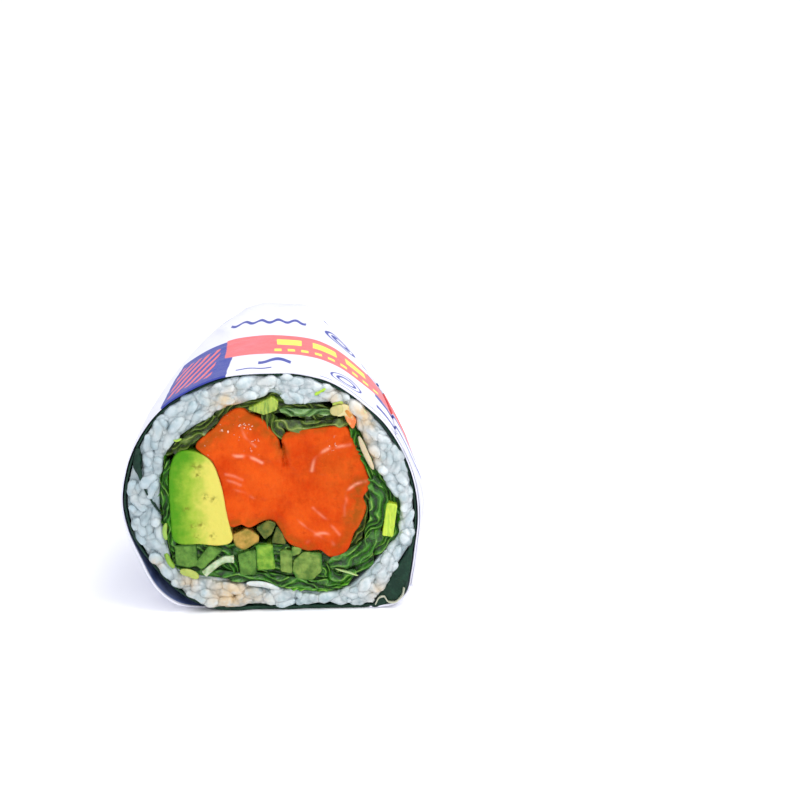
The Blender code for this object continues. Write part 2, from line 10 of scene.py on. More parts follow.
import bmesh
import bpy
import numpy as np
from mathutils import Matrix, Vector


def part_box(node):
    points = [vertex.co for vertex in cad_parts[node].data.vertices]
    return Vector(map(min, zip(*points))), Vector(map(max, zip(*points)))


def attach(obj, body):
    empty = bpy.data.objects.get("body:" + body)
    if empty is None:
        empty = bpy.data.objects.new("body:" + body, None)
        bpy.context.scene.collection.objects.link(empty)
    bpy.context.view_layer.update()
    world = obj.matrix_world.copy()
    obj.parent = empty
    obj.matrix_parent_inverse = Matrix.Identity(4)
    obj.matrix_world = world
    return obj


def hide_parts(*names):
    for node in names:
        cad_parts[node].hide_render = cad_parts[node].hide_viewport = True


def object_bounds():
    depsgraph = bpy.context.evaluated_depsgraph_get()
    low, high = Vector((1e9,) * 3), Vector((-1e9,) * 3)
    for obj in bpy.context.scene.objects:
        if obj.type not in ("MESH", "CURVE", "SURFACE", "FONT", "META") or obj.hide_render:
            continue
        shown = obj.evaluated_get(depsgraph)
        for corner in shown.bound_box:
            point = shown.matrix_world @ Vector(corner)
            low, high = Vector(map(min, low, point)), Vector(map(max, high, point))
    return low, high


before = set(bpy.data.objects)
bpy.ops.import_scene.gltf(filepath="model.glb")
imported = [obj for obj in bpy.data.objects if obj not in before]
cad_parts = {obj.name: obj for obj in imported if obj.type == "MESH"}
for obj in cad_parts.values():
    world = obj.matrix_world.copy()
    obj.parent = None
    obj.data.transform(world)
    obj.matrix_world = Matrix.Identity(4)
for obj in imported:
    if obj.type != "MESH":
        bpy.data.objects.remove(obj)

bl_info = {
    "name": "Sushi burrito half",
    "version": (1, 0, 0),
    "blender": (4, 5, 0),
    "location": "3D View > Sidebar > Burrito",
    "description": "Dresses a plain model of half a sushi burrito with its paper, rice and fillings",
    "category": "Add Mesh",
}

CAD_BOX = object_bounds()
MM = 0.001
HEIGHT = 58.3

# Finer than this, in millimetres, points are one
WELD = 0.002

# Net of random values that noise is blended from, and its shift, which keeps its places above 0
NOISE_KNOTS = 64
NOISE_SHIFT = 640.0

# Points round each layer, and rows of points along the paper and the sheets
PAPER_POINTS = 371
PAPER_ROWS = 105
FLAP_POINTS = 110
FLAP_ROWS = 90
FLAP_NET = 1201
SEAWEED_POINTS = 401
RICE_POINTS = 421
MAP_POINTS = 161
SHEET_ROWS = 34
STICK_POINTS = 97
SLIVER_POINTS = 60

# Form of the whole, in millimetres, as the solids have it
LENGTH = 96.0
PAPER = 0.35
NORI = 0.5
GAP = 0.3
AXIS_Z = 25.6
WIDTH_POWER = 2.0
WIDTH_ROOT = 1.7
FLAT_SHARE = 0.56
HEIGHT_POWER = 3.0
HEIGHT_ROOT = 2.0
END_SHARE = 0.975
SHRINK_PER_INSET = 1.3
SIDE_DRIFT = 0.035
FILLING_LENGTH = 84.5
FILLING_END = 0.95
CAVITY_LENGTH = 87.0
RICE_FRONT = 0.6
SEAWEED_ENDS = (87.2, 86.6)
RICE_ENDS = (85.6, 82.6)

# Least room round a grain's middle, as a share of its width, how far its outline may pass the edge
# of the rice before another turn is tried, and before it is dropped, and how many turns it may try
GRAIN_ROOM = 0.36
GRAIN_SLACK = 0.05
GRAIN_LIMIT = 0.35
GRAIN_TURNS = 10

# Depth of the troughs between the folds of a leaf, and how far a sliver stands out
FOLD_DEPTH = 0.75
SLIVER_HIGH = 0.55

# Settling of the crest behind the cut, which leaves room for creases
SAG = 0.6
SAG_REACH = 12.0

# Folds and slack of the paper
PLEATS = 10
PLEAT_DEPTH = 1.9
PLEAT_START = 0.62
PLEAT_RISE = 0.30
PLEAT_TWIST = 0.35
FIRST_PLEAT = (34.5, 22.5)
LOOSE_PAPER = 2.3
LOOSE_ANGLE = -2.46
LOOSE_SPREAD = 0.30
LOOSE_REACH = 40.0
EDGE_REACH = 4.0
END_SHARES = [0.9, 0.76, 0.6, 0.42, 0.24, 0.1, 0.0]
END_DENTS = [0.2, 0.9, 1.9, 3.0, 3.8, 4.2, 4.3]
PRINTED_ROWS_INSIDE = 3
CREASES = 46
CREASE_DEPTH = 0.32
FLAP_FOOT = 4.0
FLAP_TOP = 43.0
FLAP_LENGTH = 54.0
FLAP_RIDGE = 1.3
FLAP_RIDGE_Z = 27.6
FLAP_RIDGE_SPREAD = 5.0

# Millimetres for each unit of the paper's UV map, and how softly its inks and its stripes end
UV_MM = 100.0
INK_SOFT = 0.12
STRIPE_SOFT = 0.15

# Outline of the rim, anticlockwise from the middle of the underside as seen from the front
RIM = [
    (8.0, 0.0), (22.0, 0.0), (28.4, 0.8), (31.7, 3.3), (32.9, 8.2), (33.7, 14.3),
    (34.5, 22.5), (33.6, 30.7), (31.0, 38.4), (27.0, 45.2), (22.0, 50.3), (16.0, 54.8),
    (9.0, 57.5), (-1.0, 58.3), (-11.0, 57.3), (-19.8, 53.6), (-26.0, 48.9), (-30.8, 42.1),
    (-33.6, 34.8), (-34.6, 26.6), (-32.8, 18.8), (-28.6, 11.5), (-24.2, 6.1), (-19.0, 1.9),
    (-13.7, 0.2), (-6.0, 0.0),
]

# Hollow in the rice that holds the fillings
CAVITY = [
    (30.0, 22.5), (29.8, 26.5), (26.9, 30.9), (24.3, 35.0), (21.4, 41.5), (19.8, 46.4),
    (17.6, 49.7), (14.6, 50.7), (8.0, 50.4), (3.8, 50.3), (2.8, 52.1), (0.4, 53.2),
    (-3.0, 51.8), (-7.0, 50.6), (-10.6, 49.8), (-13.6, 48.1), (-17.2, 45.6), (-20.9, 43.0),
    (-23.8, 39.5), (-25.2, 34.8), (-25.8, 28.6), (-25.6, 22.5), (-24.4, 16.9), (-23.4, 12.1),
    (-21.6, 10.5), (-17.2, 8.9), (-10.4, 7.6), (-5.6, 6.2), (1.2, 5.6), (6.4, 4.6),
    (11.4, 4.0), (16.8, 4.6), (21.4, 8.0), (26.0, 13.5), (28.9, 16.8), (29.9, 19.0),
]

# Chord across the lower right corner, where the end of the seaweed is folded in
FOLD_TOP = (31.9, 14.9)
FOLD_FOOT = (23.6, 1.4)

SALMON = [
    (13.4, 13.6), (15.4, 13.2), (17.5, 15.4), (18.8, 19.0), (20.2, 21.2), (21.6, 24.9),
    (20.9, 27.7), (22.4, 30.1), (22.2, 32.3), (20.3, 37.8), (18.5, 42.2), (16.7, 44.7),
    (12.0, 44.3), (8.0, 44.0), (4.2, 43.4), (2.8, 41.8), (2.6, 39.5), (1.7, 41.9),
    (0.1, 43.9), (-1.8, 46.4), (-4.4, 47.8), (-7.0, 49.2), (-10.1, 47.5), (-12.2, 44.9),
    (-14.9, 42.8), (-16.6, 40.9), (-15.7, 39.6), (-12.8, 37.0), (-11.1, 31.5), (-10.1, 25.6),
    (-9.4, 21.5), (-7.0, 22.0), (-5.0, 21.2), (-1.6, 22.7), (1.2, 22.0), (4.1, 17.2),
    (8.0, 15.2), (11.4, 15.1),
]
SALMON_HEART = (2.0, 30.7)
SALMON_NOTCH = (2.6, 39.5)
SALMON_CRACK = [(2.6, 40.6), (2.9, 38.4), (3.5, 35.9)]
SALMON_FAT = [
    [(9.5, 34.4), (10.4, 37.4), (13.0, 39.5), (15.9, 40.3), (18.3, 40.6)],
    [(17.2, 23.4), (17.3, 26.9), (18.0, 29.6), (19.9, 31.1), (22.0, 31.6)],
    [(7.6, 16.6), (10.4, 18.8), (13.0, 18.6), (14.4, 16.2)],
    [(-2.0, 36.6), (-5.0, 38.0), (-8.5, 38.3)],
]
# Painted highlights on the moist flesh: pale streaks, drawn in the colour of the fatty lines at less strength
SALMON_HIGHLIGHT_STREAKS = [
    [(-10.4, 34.0), (-8.4, 33.5), (-6.5, 32.5)],
    [(-10.2, 32.5), (-8.6, 32.1), (-7.0, 31.3)],
    [(-9.0, 30.4), (-6.0, 29.2), (-3.6, 27.4)],
    [(9.7, 25.4), (13.0, 22.0), (15.8, 18.6)],
    [(6.0, 22.4), (9.4, 19.6), (12.6, 17.4)],
    [(-6.6, 45.2), (-5.6, 42.6), (-3.4, 40.6)],
]
# Darker brown along paths, mostly on the salmon's edges and weakly over its right lobe: the path, the width
# and the strength
SALMON_BROWN = [
    ([(-4.0, 21.5), (0.5, 21.8), (4.2, 17.5), (9.0, 15.3)], 1.3, 0.9),
    ([(-15.6, 41.0), (-11.5, 44.3), (-8.5, 47.0), (-4.4, 47.4)], 2.0, 0.75),
    ([(-3.0, 45.6), (0.6, 42.6), (2.9, 39.0)], 1.3, 0.9),
    ([(3.4, 42.9), (8.0, 43.9), (12.5, 44.2)], 0.7, 0.6),
    ([(20.6, 31.2), (19.7, 28.4), (20.2, 25.4), (18.6, 22.0)], 2.0, 1.0),
    ([(13.8, 14.6), (16.4, 16.6), (18.2, 20.0)], 1.2, 0.6),
    ([(12.5, 36.0), (15.5, 32.5), (18.0, 35.5)], 4.5, 0.3),
    ([(-9.6, 22.0), (-7.6, 22.4), (-5.4, 22.0)], 1.0, 0.7),
]

AVOCADO = [
    (-10.3, 17.7), (-10.4, 20.5), (-11.4, 26.3), (-12.4, 31.4), (-14.2, 36.6), (-17.4, 39.2),
    (-21.0, 39.1), (-22.8, 35.7), (-23.2, 30.7), (-23.0, 23.4), (-22.1, 17.8), (-15.8, 17.4),
]
AVOCADO_SPECKS = [
    (-17.6, 36.1), (-16.4, 36.0), (-16.8, 34.0), (-15.2, 28.8), (-13.2, 28.0), (-19.6, 25.8),
    (-18.2, 21.5), (-16.4, 21.8), (-17.4, 18.8), (-13.8, 19.0),
]

# Cut sticks, as the corners of their cross sections, each with its kind of flesh
CUCUMBERS = [
    ("deep", [(-17.6, 11.8), (-17.7, 16.7), (-22.4, 16.6), (-22.3, 12.1), (-19.6, 11.3)]),
    ("deep", [(-16.4, 10.8), (-11.5, 15.5), (-14.6, 16.3), (-18.0, 11.9)]),
    ("stained", [(-6.6, 15.4), (-3.3, 17.2), (-3.2, 18.6), (-5.9, 20.3), (-8.9, 18.9), (-8.4, 16.4)]),
    ("deep", [(-3.9, 9.2), (-3.9, 15.0), (-7.8, 14.2), (-7.3, 9.2)]),
    ("bright", [(0.5, 10.5), (-0.1, 16.2), (-3.6, 16.2), (-3.3, 10.3)]),
    ("pale", [(4.4, 9.3), (4.5, 14.6), (2.0, 14.8), (2.1, 9.9)]),
    ("pale", [(9.2, 7.5), (11.5, 9.8), (11.3, 13.8), (7.3, 14.2), (5.2, 12.2), (4.9, 9.8), (5.8, 7.8)]),
    ("pale", [(6.4, 14.2), (6.7, 15.2), (4.8, 15.7), (4.7, 13.6)]),
    ("dark", [(-1.6, 18.0), (-0.1, 19.2), (0.8, 21.5), (-0.8, 22.2), (-3.4, 20.6)]),
    ("dark", [(0.1, 17.0), (3.2, 16.7), (2.4, 19.0), (1.2, 20.7)]),
]

# Flesh, deeper flesh and skin of each kind of cucumber stick
CUCUMBER_KINDS = {
    "pale": ("7e9848", "48692a", "2f6420"),
    "deep": ("64903c", "366022", "1b4a16"),
    "bright": ("8ab03e", "4e8422", "2f701a"),
    "stained": ("c09248", "84702a", "5c5c1c"),
    "dark": ("6c6a2c", "33461c", "2a3a18"),
}

GREEN_STALK = [(28.2, 18.0), (29.2, 25.8), (26.9, 26.3), (25.8, 18.4)]
SCALLION = [(1.6, 49.3), (2.0, 51.3), (0.6, 52.4), (-4.9, 49.7), (-1.4, 48.3)]
SAUCE = [
    (19.1, 44.5), (19.8, 46.4), (18.8, 47.9), (18.5, 49.7), (16.6, 50.3), (15.2, 49.3),
    (14.2, 48.4), (16.0, 47.5), (17.2, 48.0), (17.8, 46.3),
]
PALE_STRIP = [(-16.0, 9.7), (-13.5, 11.6), (-11.0, 12.9), (-8.9, 13.1)]

# Bundles of folded leaf: the middle line on the cut face, half of the width, the distance between
# folds, the depth of the front and the kind
LEAVES = {
    "lettuce_left": (
        [(-23.3, 37.6), (-24.3, 33.4), (-24.5, 28.9), (-24.2, 24.9), (-23.8, 20.9), (-23.2, 17.6),
         (-22.8, 15.2)], 0.8, 0.9, -0.1, "leaf",
    ),
    "lettuce_top_left": (
        [(-22.2, 38.9), (-19.4, 41.7), (-16.8, 43.9), (-14.3, 45.9), (-12.0, 47.6)], 1.45, 1.3, 0.2, "olive",
    ),
    "lettuce_top_inner": (
        [(1.0, 46.4), (3.0, 45.9), (5.0, 45.3), (8.8, 44.9), (13.0, 45.2), (18.0, 45.8)],
        1.3, 1.7, 0.1, "olive",
    ),
    "lettuce_top_outer": (
        [(2.2, 49.2), (4.5, 48.6), (7.8, 48.3), (11.1, 48.5), (14.6, 48.3)], 0.75, 1.1, 0.0, "pale",
    ),
    "lettuce_right": ([(18.6, 45.2), (19.9, 40.9), (21.9, 36.2), (23.6, 32.0)], 0.7, 0.8, 0.0, "leaf"),
    "lettuce_right_folds": (
        [(23.0, 32.6), (24.6, 28.6), (24.9, 24.6), (24.0, 20.9), (22.4, 17.0)], 2.1, 1.6, -0.3, "leaf",
    ),
    "lettuce_lower_folds": (
        [(13.2, 11.6), (16.8, 11.9), (19.7, 13.5), (22.3, 15.6), (25.4, 19.4)], 1.9, 1.6, -0.3, "leaf",
    ),
    "lettuce_bottom": (
        [(-13.4, 9.9), (-8.7, 8.6), (-5.4, 8.6), (-2.1, 8.2), (0.7, 7.7), (4.5, 6.9), (7.8, 6.3), (11.1, 6.2),
         (14.0, 6.4), (17.6, 8.4)], 1.25, 1.2, -0.1, "leaf",
    ),
}

# Smaller leaves that only the cut face shows, written in the same way
LEAF_BITS = [
    ([(-1.4, 48.4), (0.4, 46.0), (1.8, 43.4), (2.4, 41.8)], 1.4, 1.1, 0.4, "olive"),
    ([(22.4, 29.8), (21.4, 25.4), (20.6, 20.6), (18.0, 14.6)], 1.5, 1.3, 0.6, "olive"),
    ([(-13.0, 16.4), (-10.6, 14.5), (-9.2, 12.2), (-8.4, 9.6)], 1.0, 0.8, 0.1, "leaf"),
    ([(11.9, 11.4), (13.3, 8.8), (16.2, 7.6), (19.6, 9.4)], 1.0, 1.3, -0.1, "leaf"),
    ([(-1.6, 6.6), (4.5, 5.4), (9.3, 4.9), (13.5, 4.9), (17.0, 6.2), (19.6, 8.8)], 0.3, 0.9, -0.2, "rim"),
    ([(-16.9, 16.8), (-13.4, 17.2), (-10.2, 16.5)], 0.5, 0.9, 0.3, "leaf"),
    ([(-25.6, 17.6), (-24.4, 13.8), (-22.8, 11.2)], 0.5, 0.8, 0.1, "rim"),
    ([(22.6, 17.2), (25.6, 16.2), (27.6, 18.0)], 0.7, 0.8, 0.4, "leaf"),
]

# Leaves that line the hollow behind the fillings
LINING = [
    ([(-23.4, 13.6), (-12.0, 11.8), (0.0, 10.4), (12.0, 9.6), (23.6, 13.4)], 5.2, 1.2, 1.1, "leaf"),
    ([(-25.2, 42.0), (-25.0, 30.0), (-24.2, 20.0), (-21.6, 11.4)], 1.4, 0.9, 1.2, "leaf"),
    ([(-24.6, 38.4), (-17.2, 43.6), (-8.0, 48.6), (0.6, 50.6), (10.0, 48.0), (19.0, 45.6)],
     2.3, 1.2, 1.3, "olive"),
    ([(17.0, 46.6), (21.6, 38.0), (26.6, 28.6), (28.0, 20.0), (24.0, 13.0)], 2.4, 1.0, 1.1, "leaf"),
]

# Thin slivers of leaf, radish and sauce on the rice: the path, half of the width and the colour
SLIVERS = [
    ([(10.2, 52.6), (11.6, 53.5), (13.1, 54.3)], 0.45, "b6e23c"),
    ([(14.7, 10.2), (16.8, 9.5), (20.1, 8.3)], 0.25, "b9d98a"),
    ([(-6.2, 7.0), (-2.1, 6.6), (1.7, 5.4)], 0.7, "dfe6e4"),
    ([(-22.6, 43.4), (-21.6, 42.4), (-20.2, 42.8)], 0.3, "a9d44a"),
    ([(-21.6, 10.4), (-19.4, 9.9), (-17.2, 8.7)], 0.95, "b6c65a"),
    ([(-24.6, 15.0), (-24.0, 13.0), (-22.8, 11.2)], 0.6, "8cb83c"),
    ([(-24.4, 22.4), (-24.8, 20.2), (-24.4, 18.2)], 0.55, "9cc450"),
    ([(13.9, 48.3), (15.4, 49.0), (16.8, 49.9)], 1.2, "d6cc86"),
    ([(14.4, 50.3), (15.6, 50.9), (16.9, 50.7)], 0.4, "b8ca4c"),
    ([(17.3, 49.2), (18.3, 47.9), (18.9, 45.9)], 0.8, "e3902c"),
    ([(18.8, 49.2), (20.4, 49.1), (22.2, 47.6)], 0.75, "e2d6a6"),
    ([(20.4, 42.6), (21.5, 39.6), (22.7, 36.8), (23.8, 34.4)], 0.65, "dfcda8"),
]

# Second layer of seaweed inside the rice at the left, and the small folds of paper below the corner
LAP = [(-30.2, 40.6), (-30.4, 37.4), (-30.0, 33.6), (-28.8, 29.8), (-27.2, 27.2), (-25.6, 24.6)]
LAP_POINTS = 120
LAP_WIDEST = 37.2
LAP_SPREAD = 3.0
LAP_HALF = 0.22
LAP_SWELL = 0.75
PAPER_FOLD = [(24.0, 1.0), (25.2, 2.6), (26.3, 2.9), (27.2, 1.6), (28.9, 1.5), (30.2, 2.8), (30.8, 5.0)]

# Places on the rice that the sauce has stained: centre, reach and strength
STAINS = [
    ((-9.6, 4.0), 5.2, 0.75), ((-3.6, 3.4), 3.0, 0.4), ((-9.5, 50.4), 3.4, 0.8), ((22.8, 37.2), 2.6, 0.7),
    ((21.0, 41.6), 2.6, 0.75), ((20.6, 47.6), 3.2, 0.85), ((22.8, 45.2), 1.5, 0.6), ((24.6, 32.8), 1.3, 0.6),
    ((24.8, 4.4), 2.2, 0.5), ((-27.2, 12.4), 1.6, 0.5), ((-19.6, 7.4), 2.6, 0.5), ((15.0, 51.6), 2.4, 0.5),
]


def tone(code):
    """Linear red, green and blue of a colour that is written as six hexadecimal digits."""
    shares = np.array([int(code[i:i + 2], 16) / 255 for i in (0, 2, 4)])
    return tuple(np.where(shares <= 0.04045, shares / 12.92, ((shares + 0.055) / 1.055) ** 2.4))


def colour_property(name, description, code):
    """A colour that a user may change, with its default written as hexadecimal digits."""
    return bpy.props.FloatVectorProperty(
        name=name, description=description, subtype="COLOR", size=3, min=0.0, max=1.0, default=tone(code)
    )


def number_property(name, description, default, low, high, **kind):
    """A number that a user may change, with its unit or subtype."""
    return bpy.props.FloatProperty(
        name=name, description=description, default=default, min=low, max=high, **kind
    )


class PaperSettings(bpy.types.PropertyGroup):
    """Sizes and colours of the printed paper and of the seaweed under it."""

    plain: colour_property("Paper", "Unprinted paper", "e9e9f1")
    navy: colour_property("Navy ink", "Dark printed fields", "323f9a")
    red: colour_property("Red ink", "Printed band and stripes", "dc4242")
    yellow: colour_property("Yellow ink", "Small printed shapes", "fff05a")
    seaweed: colour_property("Seaweed", "Dark sheet round the rice", "0f241d")
    crease: number_property(
        "Crease depth", "How far the creases stand out", CREASE_DEPTH * MM, 0.0, 0.001, unit="LENGTH"
    )


class RiceSettings(bpy.types.PropertyGroup):
    """Size and colours of the rice."""

    length: number_property("Grain length", "Length of a cooked grain", 0.0063, 0.004, 0.008, unit="LENGTH")
    width: number_property("Grain width", "Width of a cooked grain", 0.0027, 0.002, 0.004, unit="LENGTH")
    light: colour_property("Light grains", "Brightest rice", "dde5e8")
    shade: colour_property("Shaded grains", "Clearest, darkest rice", "9db2b8")
    stain: colour_property("Sauce stain", "Rice that took up sauce", "d8ac5c")


class FillingSettings(bpy.types.PropertyGroup):
    """Colours of the fillings."""

    salmon: colour_property("Salmon", "Raw fish", "bd2f05")
    salmon_light: colour_property("Light salmon", "Paler streaks of the fish", "dc5416")
    # This colour also paints the highlight streaks on the salmon
    fat_and_highlight: colour_property("Fat lines", "Thin pale lines of the fish", "f6a488")
    avocado_yellow: colour_property("Inner avocado", "Flesh by the stone", "d6cb60")
    avocado_green: colour_property("Outer avocado", "Flesh by the peel", "458a10")
    stalk: colour_property("Stalk", "Yellow-green stalk", "c4dc3a")
    sauce: colour_property("Sauce", "Thick orange sauce", "dccb90")


class StageSettings(bpy.types.PropertyGroup):
    """Camera and light."""

    elevation: number_property(
        "Camera elevation", "How steeply the camera looks down", math.radians(19.0), 0.0, 1.5, subtype="ANGLE"
    )
    distance: number_property(
        "Camera distance", "From the camera to the cut face", 0.5, 0.2, 3.0, unit="LENGTH"
    )
    key: number_property("Key light", "Power of the large light above", 3.0, 0.0, 100.0, unit="POWER")
    fill: number_property("Front light", "Power of the soft light in front", 0.5, 0.0, 100.0, unit="POWER")


def smooth(share):
    """The smooth step 3 s^2 - 2 s^3 of a share that is held between 0 and 1."""
    share = np.clip(share, 0.0, 1.0)
    return share * share * (3 - 2 * share)


def blend(values, i, j, share_x, share_y):
    """Values of a net between its knots, by the share of the way to the next one. The net repeats."""
    rows, columns = values.shape
    near, far = (
        values[i % rows, k % columns] * (1 - share_x) + values[(i + 1) % rows, k % columns] * share_x
        for k in (j, j + 1)
    )
    return near * (1 - share_y) + far * share_y


def noise(x, y, cell, seed):
    """Heights between -1 and 1: a random value at each knot of a square net, blended smoothly."""
    knots = np.random.default_rng(seed).uniform(-1, 1, (NOISE_KNOTS, NOISE_KNOTS))
    across = x / cell + NOISE_SHIFT
    along = y / cell + NOISE_SHIFT
    i = np.floor(across).astype(int)
    j = np.floor(along).astype(int)
    return blend(knots, i, j, smooth(across - i), smooth(along - j))


def ripple(run, cell, seed):
    """Noise along one line."""
    return noise(run, 0 * run, cell, seed)


def layered_noise(x, y, cell, seed, layers=3):
    """Noise with finer noise on it: each layer has half the cell and half the height of the last."""
    total = 0.0
    for k in range(layers):
        total = total + noise(x, y, cell / 2**k, seed + k) / 2**k
    return total / (2 - 2 ** (1 - layers))


def way_along(points):
    """Distance along a line of points, from 0 at the first."""
    return np.concatenate([[0], np.cumsum(np.linalg.norm(np.diff(points, axis=0), axis=1))])


def even_points(points, count):
    """Count points, an even distance apart, on a line of points."""
    run = way_along(points)
    at = np.linspace(0, run[-1], count)
    return np.stack([np.interp(at, run, points[:, k]) for k in (0, 1)], axis=1)


def curve_through(points, count, closed):
    """Count points, an even distance apart, on the smooth cubic curve through the given points."""
    points = np.asarray(points, float)
    total = len(points)
    spans = total if closed else total - 1
    where = np.linspace(0, spans, spans * 24 + 1)
    base = np.minimum(where.astype(int), spans - 1)
    part = (where - base)[:, None]
    around = [(base + k) % total if closed else np.clip(base + k, 0, total - 1) for k in (-1, 0, 1, 2)]
    p0, p1, p2, p3 = (points[k] for k in around)
    bend = 2 * p0 - 5 * p1 + 4 * p2 - p3
    return even_points(
        0.5 * (2 * p1 + (p2 - p0) * part + bend * part**2 + (3 * p1 - p0 - 3 * p2 + p3) * part**3), count
    )


def outward(section, closed=True):
    """Unit vectors to the right of the way along a section, which is outwards on a loop."""
    if closed:
        before = np.roll(section, 1, axis=-2)
        before[..., 0, :] = section[..., -2, :]
        after = np.roll(section, -1, axis=-2)
        after[..., -1, :] = section[..., 1, :]
        along = after - before
    else:
        along = np.gradient(section, axis=-2)
    along = along / np.maximum(np.linalg.norm(along, axis=-1, keepdims=True), 1e-9)
    return np.stack([along[..., 1], -along[..., 0]], axis=-1)


def inset(section, distance, closed=True):
    """The section moved inwards by a distance that may differ from point to point."""
    return section - outward(section, closed) * np.asarray(distance)[..., None]


def carry(section, depth, length):
    """Points of a section at a depth, narrowed towards the axis as the roll narrows.

    The width left at a share s of the length is (1 - s^2)^(1/1.7). The height stays whole up to
    FLAT_SHARE and then falls as the root of 1 - f^3. The axis drifts to the right with depth, and
    the crest settles by SAG behind the cut.
    """
    depth = np.asarray(depth, float)
    share = np.clip(depth / length, 0.0, 1.0)
    width = (1 - share**WIDTH_POWER) ** (1 / WIDTH_ROOT)
    fall = np.clip((share - FLAT_SHARE) / (1 - FLAT_SHARE), 0.0, 1.0)
    height = (1 - fall**HEIGHT_POWER) ** (1 / HEIGHT_ROOT)
    x = section[..., 0] * width + SIDE_DRIFT * np.maximum(depth, 0.0)
    crest = np.clip((section[..., 1] - AXIS_Z) / (HEIGHT - AXIS_Z), 0.0, 1.0)
    z = AXIS_Z + (section[..., 1] - AXIS_Z) * height - SAG * crest * smooth(depth / SAG_REACH)
    return np.stack(np.broadcast_arrays(x, depth, z), axis=-1)


def layer_length(distance):
    """Length of a layer that lies that far inside the paper's face."""
    return LENGTH - SHRINK_PER_INSET * distance


def closed_rim(count):
    """The rim as count even points, the last one on the first."""
    return curve_through(RIM, count, True)


def rim_inset(count, distance):
    """The rim moved inwards by one distance."""
    return inset(closed_rim(count), np.full(count, distance))


OFFSET = Vector((
    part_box("nori")[0].x / MM - rim_inset(SEAWEED_POINTS, PAPER + GAP)[:, 0].min(),
    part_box("nori")[0].y / MM,
    0.0,
))


def to_row(points):
    """Points in the millimetres of the cut face, as metres in the row frame."""
    return (np.asarray(points) + np.array(OFFSET)) * MM


def skin(name, grids, material, replaced=(), uv=None, values=None, inner_rows=0, inner=None):
    """A piece from grids of points, shaped (pieces, rows, columns, 3) or (rows, columns, 3).

    Rows and columns become quads. Points that coincide, as in a seam or a pole, are merged, and
    the faces are turned outwards. The last inner_rows rows of faces take the inner material.
    """
    grids = np.asarray(grids, float)
    if grids.ndim == 3:
        grids = grids[None]
    pieces, rows, columns = grids.shape[:3]
    corner = np.arange(rows - 1)[:, None] * columns + np.arange(columns - 1)
    quads = np.stack([corner, corner + 1, corner + columns + 1, corner + columns], axis=-1).reshape(-1, 4)
    quads = (quads[None] + np.arange(pieces)[:, None, None] * rows * columns).reshape(-1, 4)
    mesh = bpy.data.meshes.new(name)
    points = np.clip(to_row(grids.reshape(-1, 3)), CAD_BOX[0], CAD_BOX[1])
    mesh.from_pydata(points.tolist(), [], quads.tolist())
    mesh.materials.append(material)
    if uv is not None:
        layer = mesh.uv_layers.new(name="wrap")
        layer.data.foreach_set("uv", uv.reshape(-1, 2)[quads].astype(np.float32).ravel())
    for key, value in (values or {}).items():
        attribute = mesh.attributes.new(key, "FLOAT", "POINT")
        whole = np.broadcast_to(value, grids.shape[:3]).astype(np.float32)
        attribute.data.foreach_set("value", whole.ravel())
    if inner:
        mesh.materials.append(inner)
        row = np.repeat(np.arange(rows - 1), columns - 1)
        mesh.polygons.foreach_set("material_index", (row >= rows - 1 - inner_rows).astype(np.int32))
    shape = bmesh.new()
    shape.from_mesh(mesh)
    bmesh.ops.remove_doubles(shape, verts=shape.verts, dist=WELD * MM)
    bmesh.ops.recalc_face_normals(shape, faces=shape.faces)
    shape.to_mesh(mesh)
    shape.free()
    mesh.shade_smooth()
    piece = bpy.data.objects.new(name, mesh)
    bpy.context.scene.collection.objects.link(piece)
    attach(piece, "root")
    if replaced:
        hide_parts(*replaced)
    return piece


class Reading:
    """What a node gives. Sums, differences and products of readings are nodes too."""

    def __init__(self, nodes, socket):
        self.nodes = nodes
        self.socket = socket

    def __add__(self, other):
        return self.nodes.math("ADD", self, other)

    def __sub__(self, other):
        return self.nodes.math("SUBTRACT", self, other)

    def __mul__(self, other):
        return self.nodes.math("MULTIPLY", self, other)


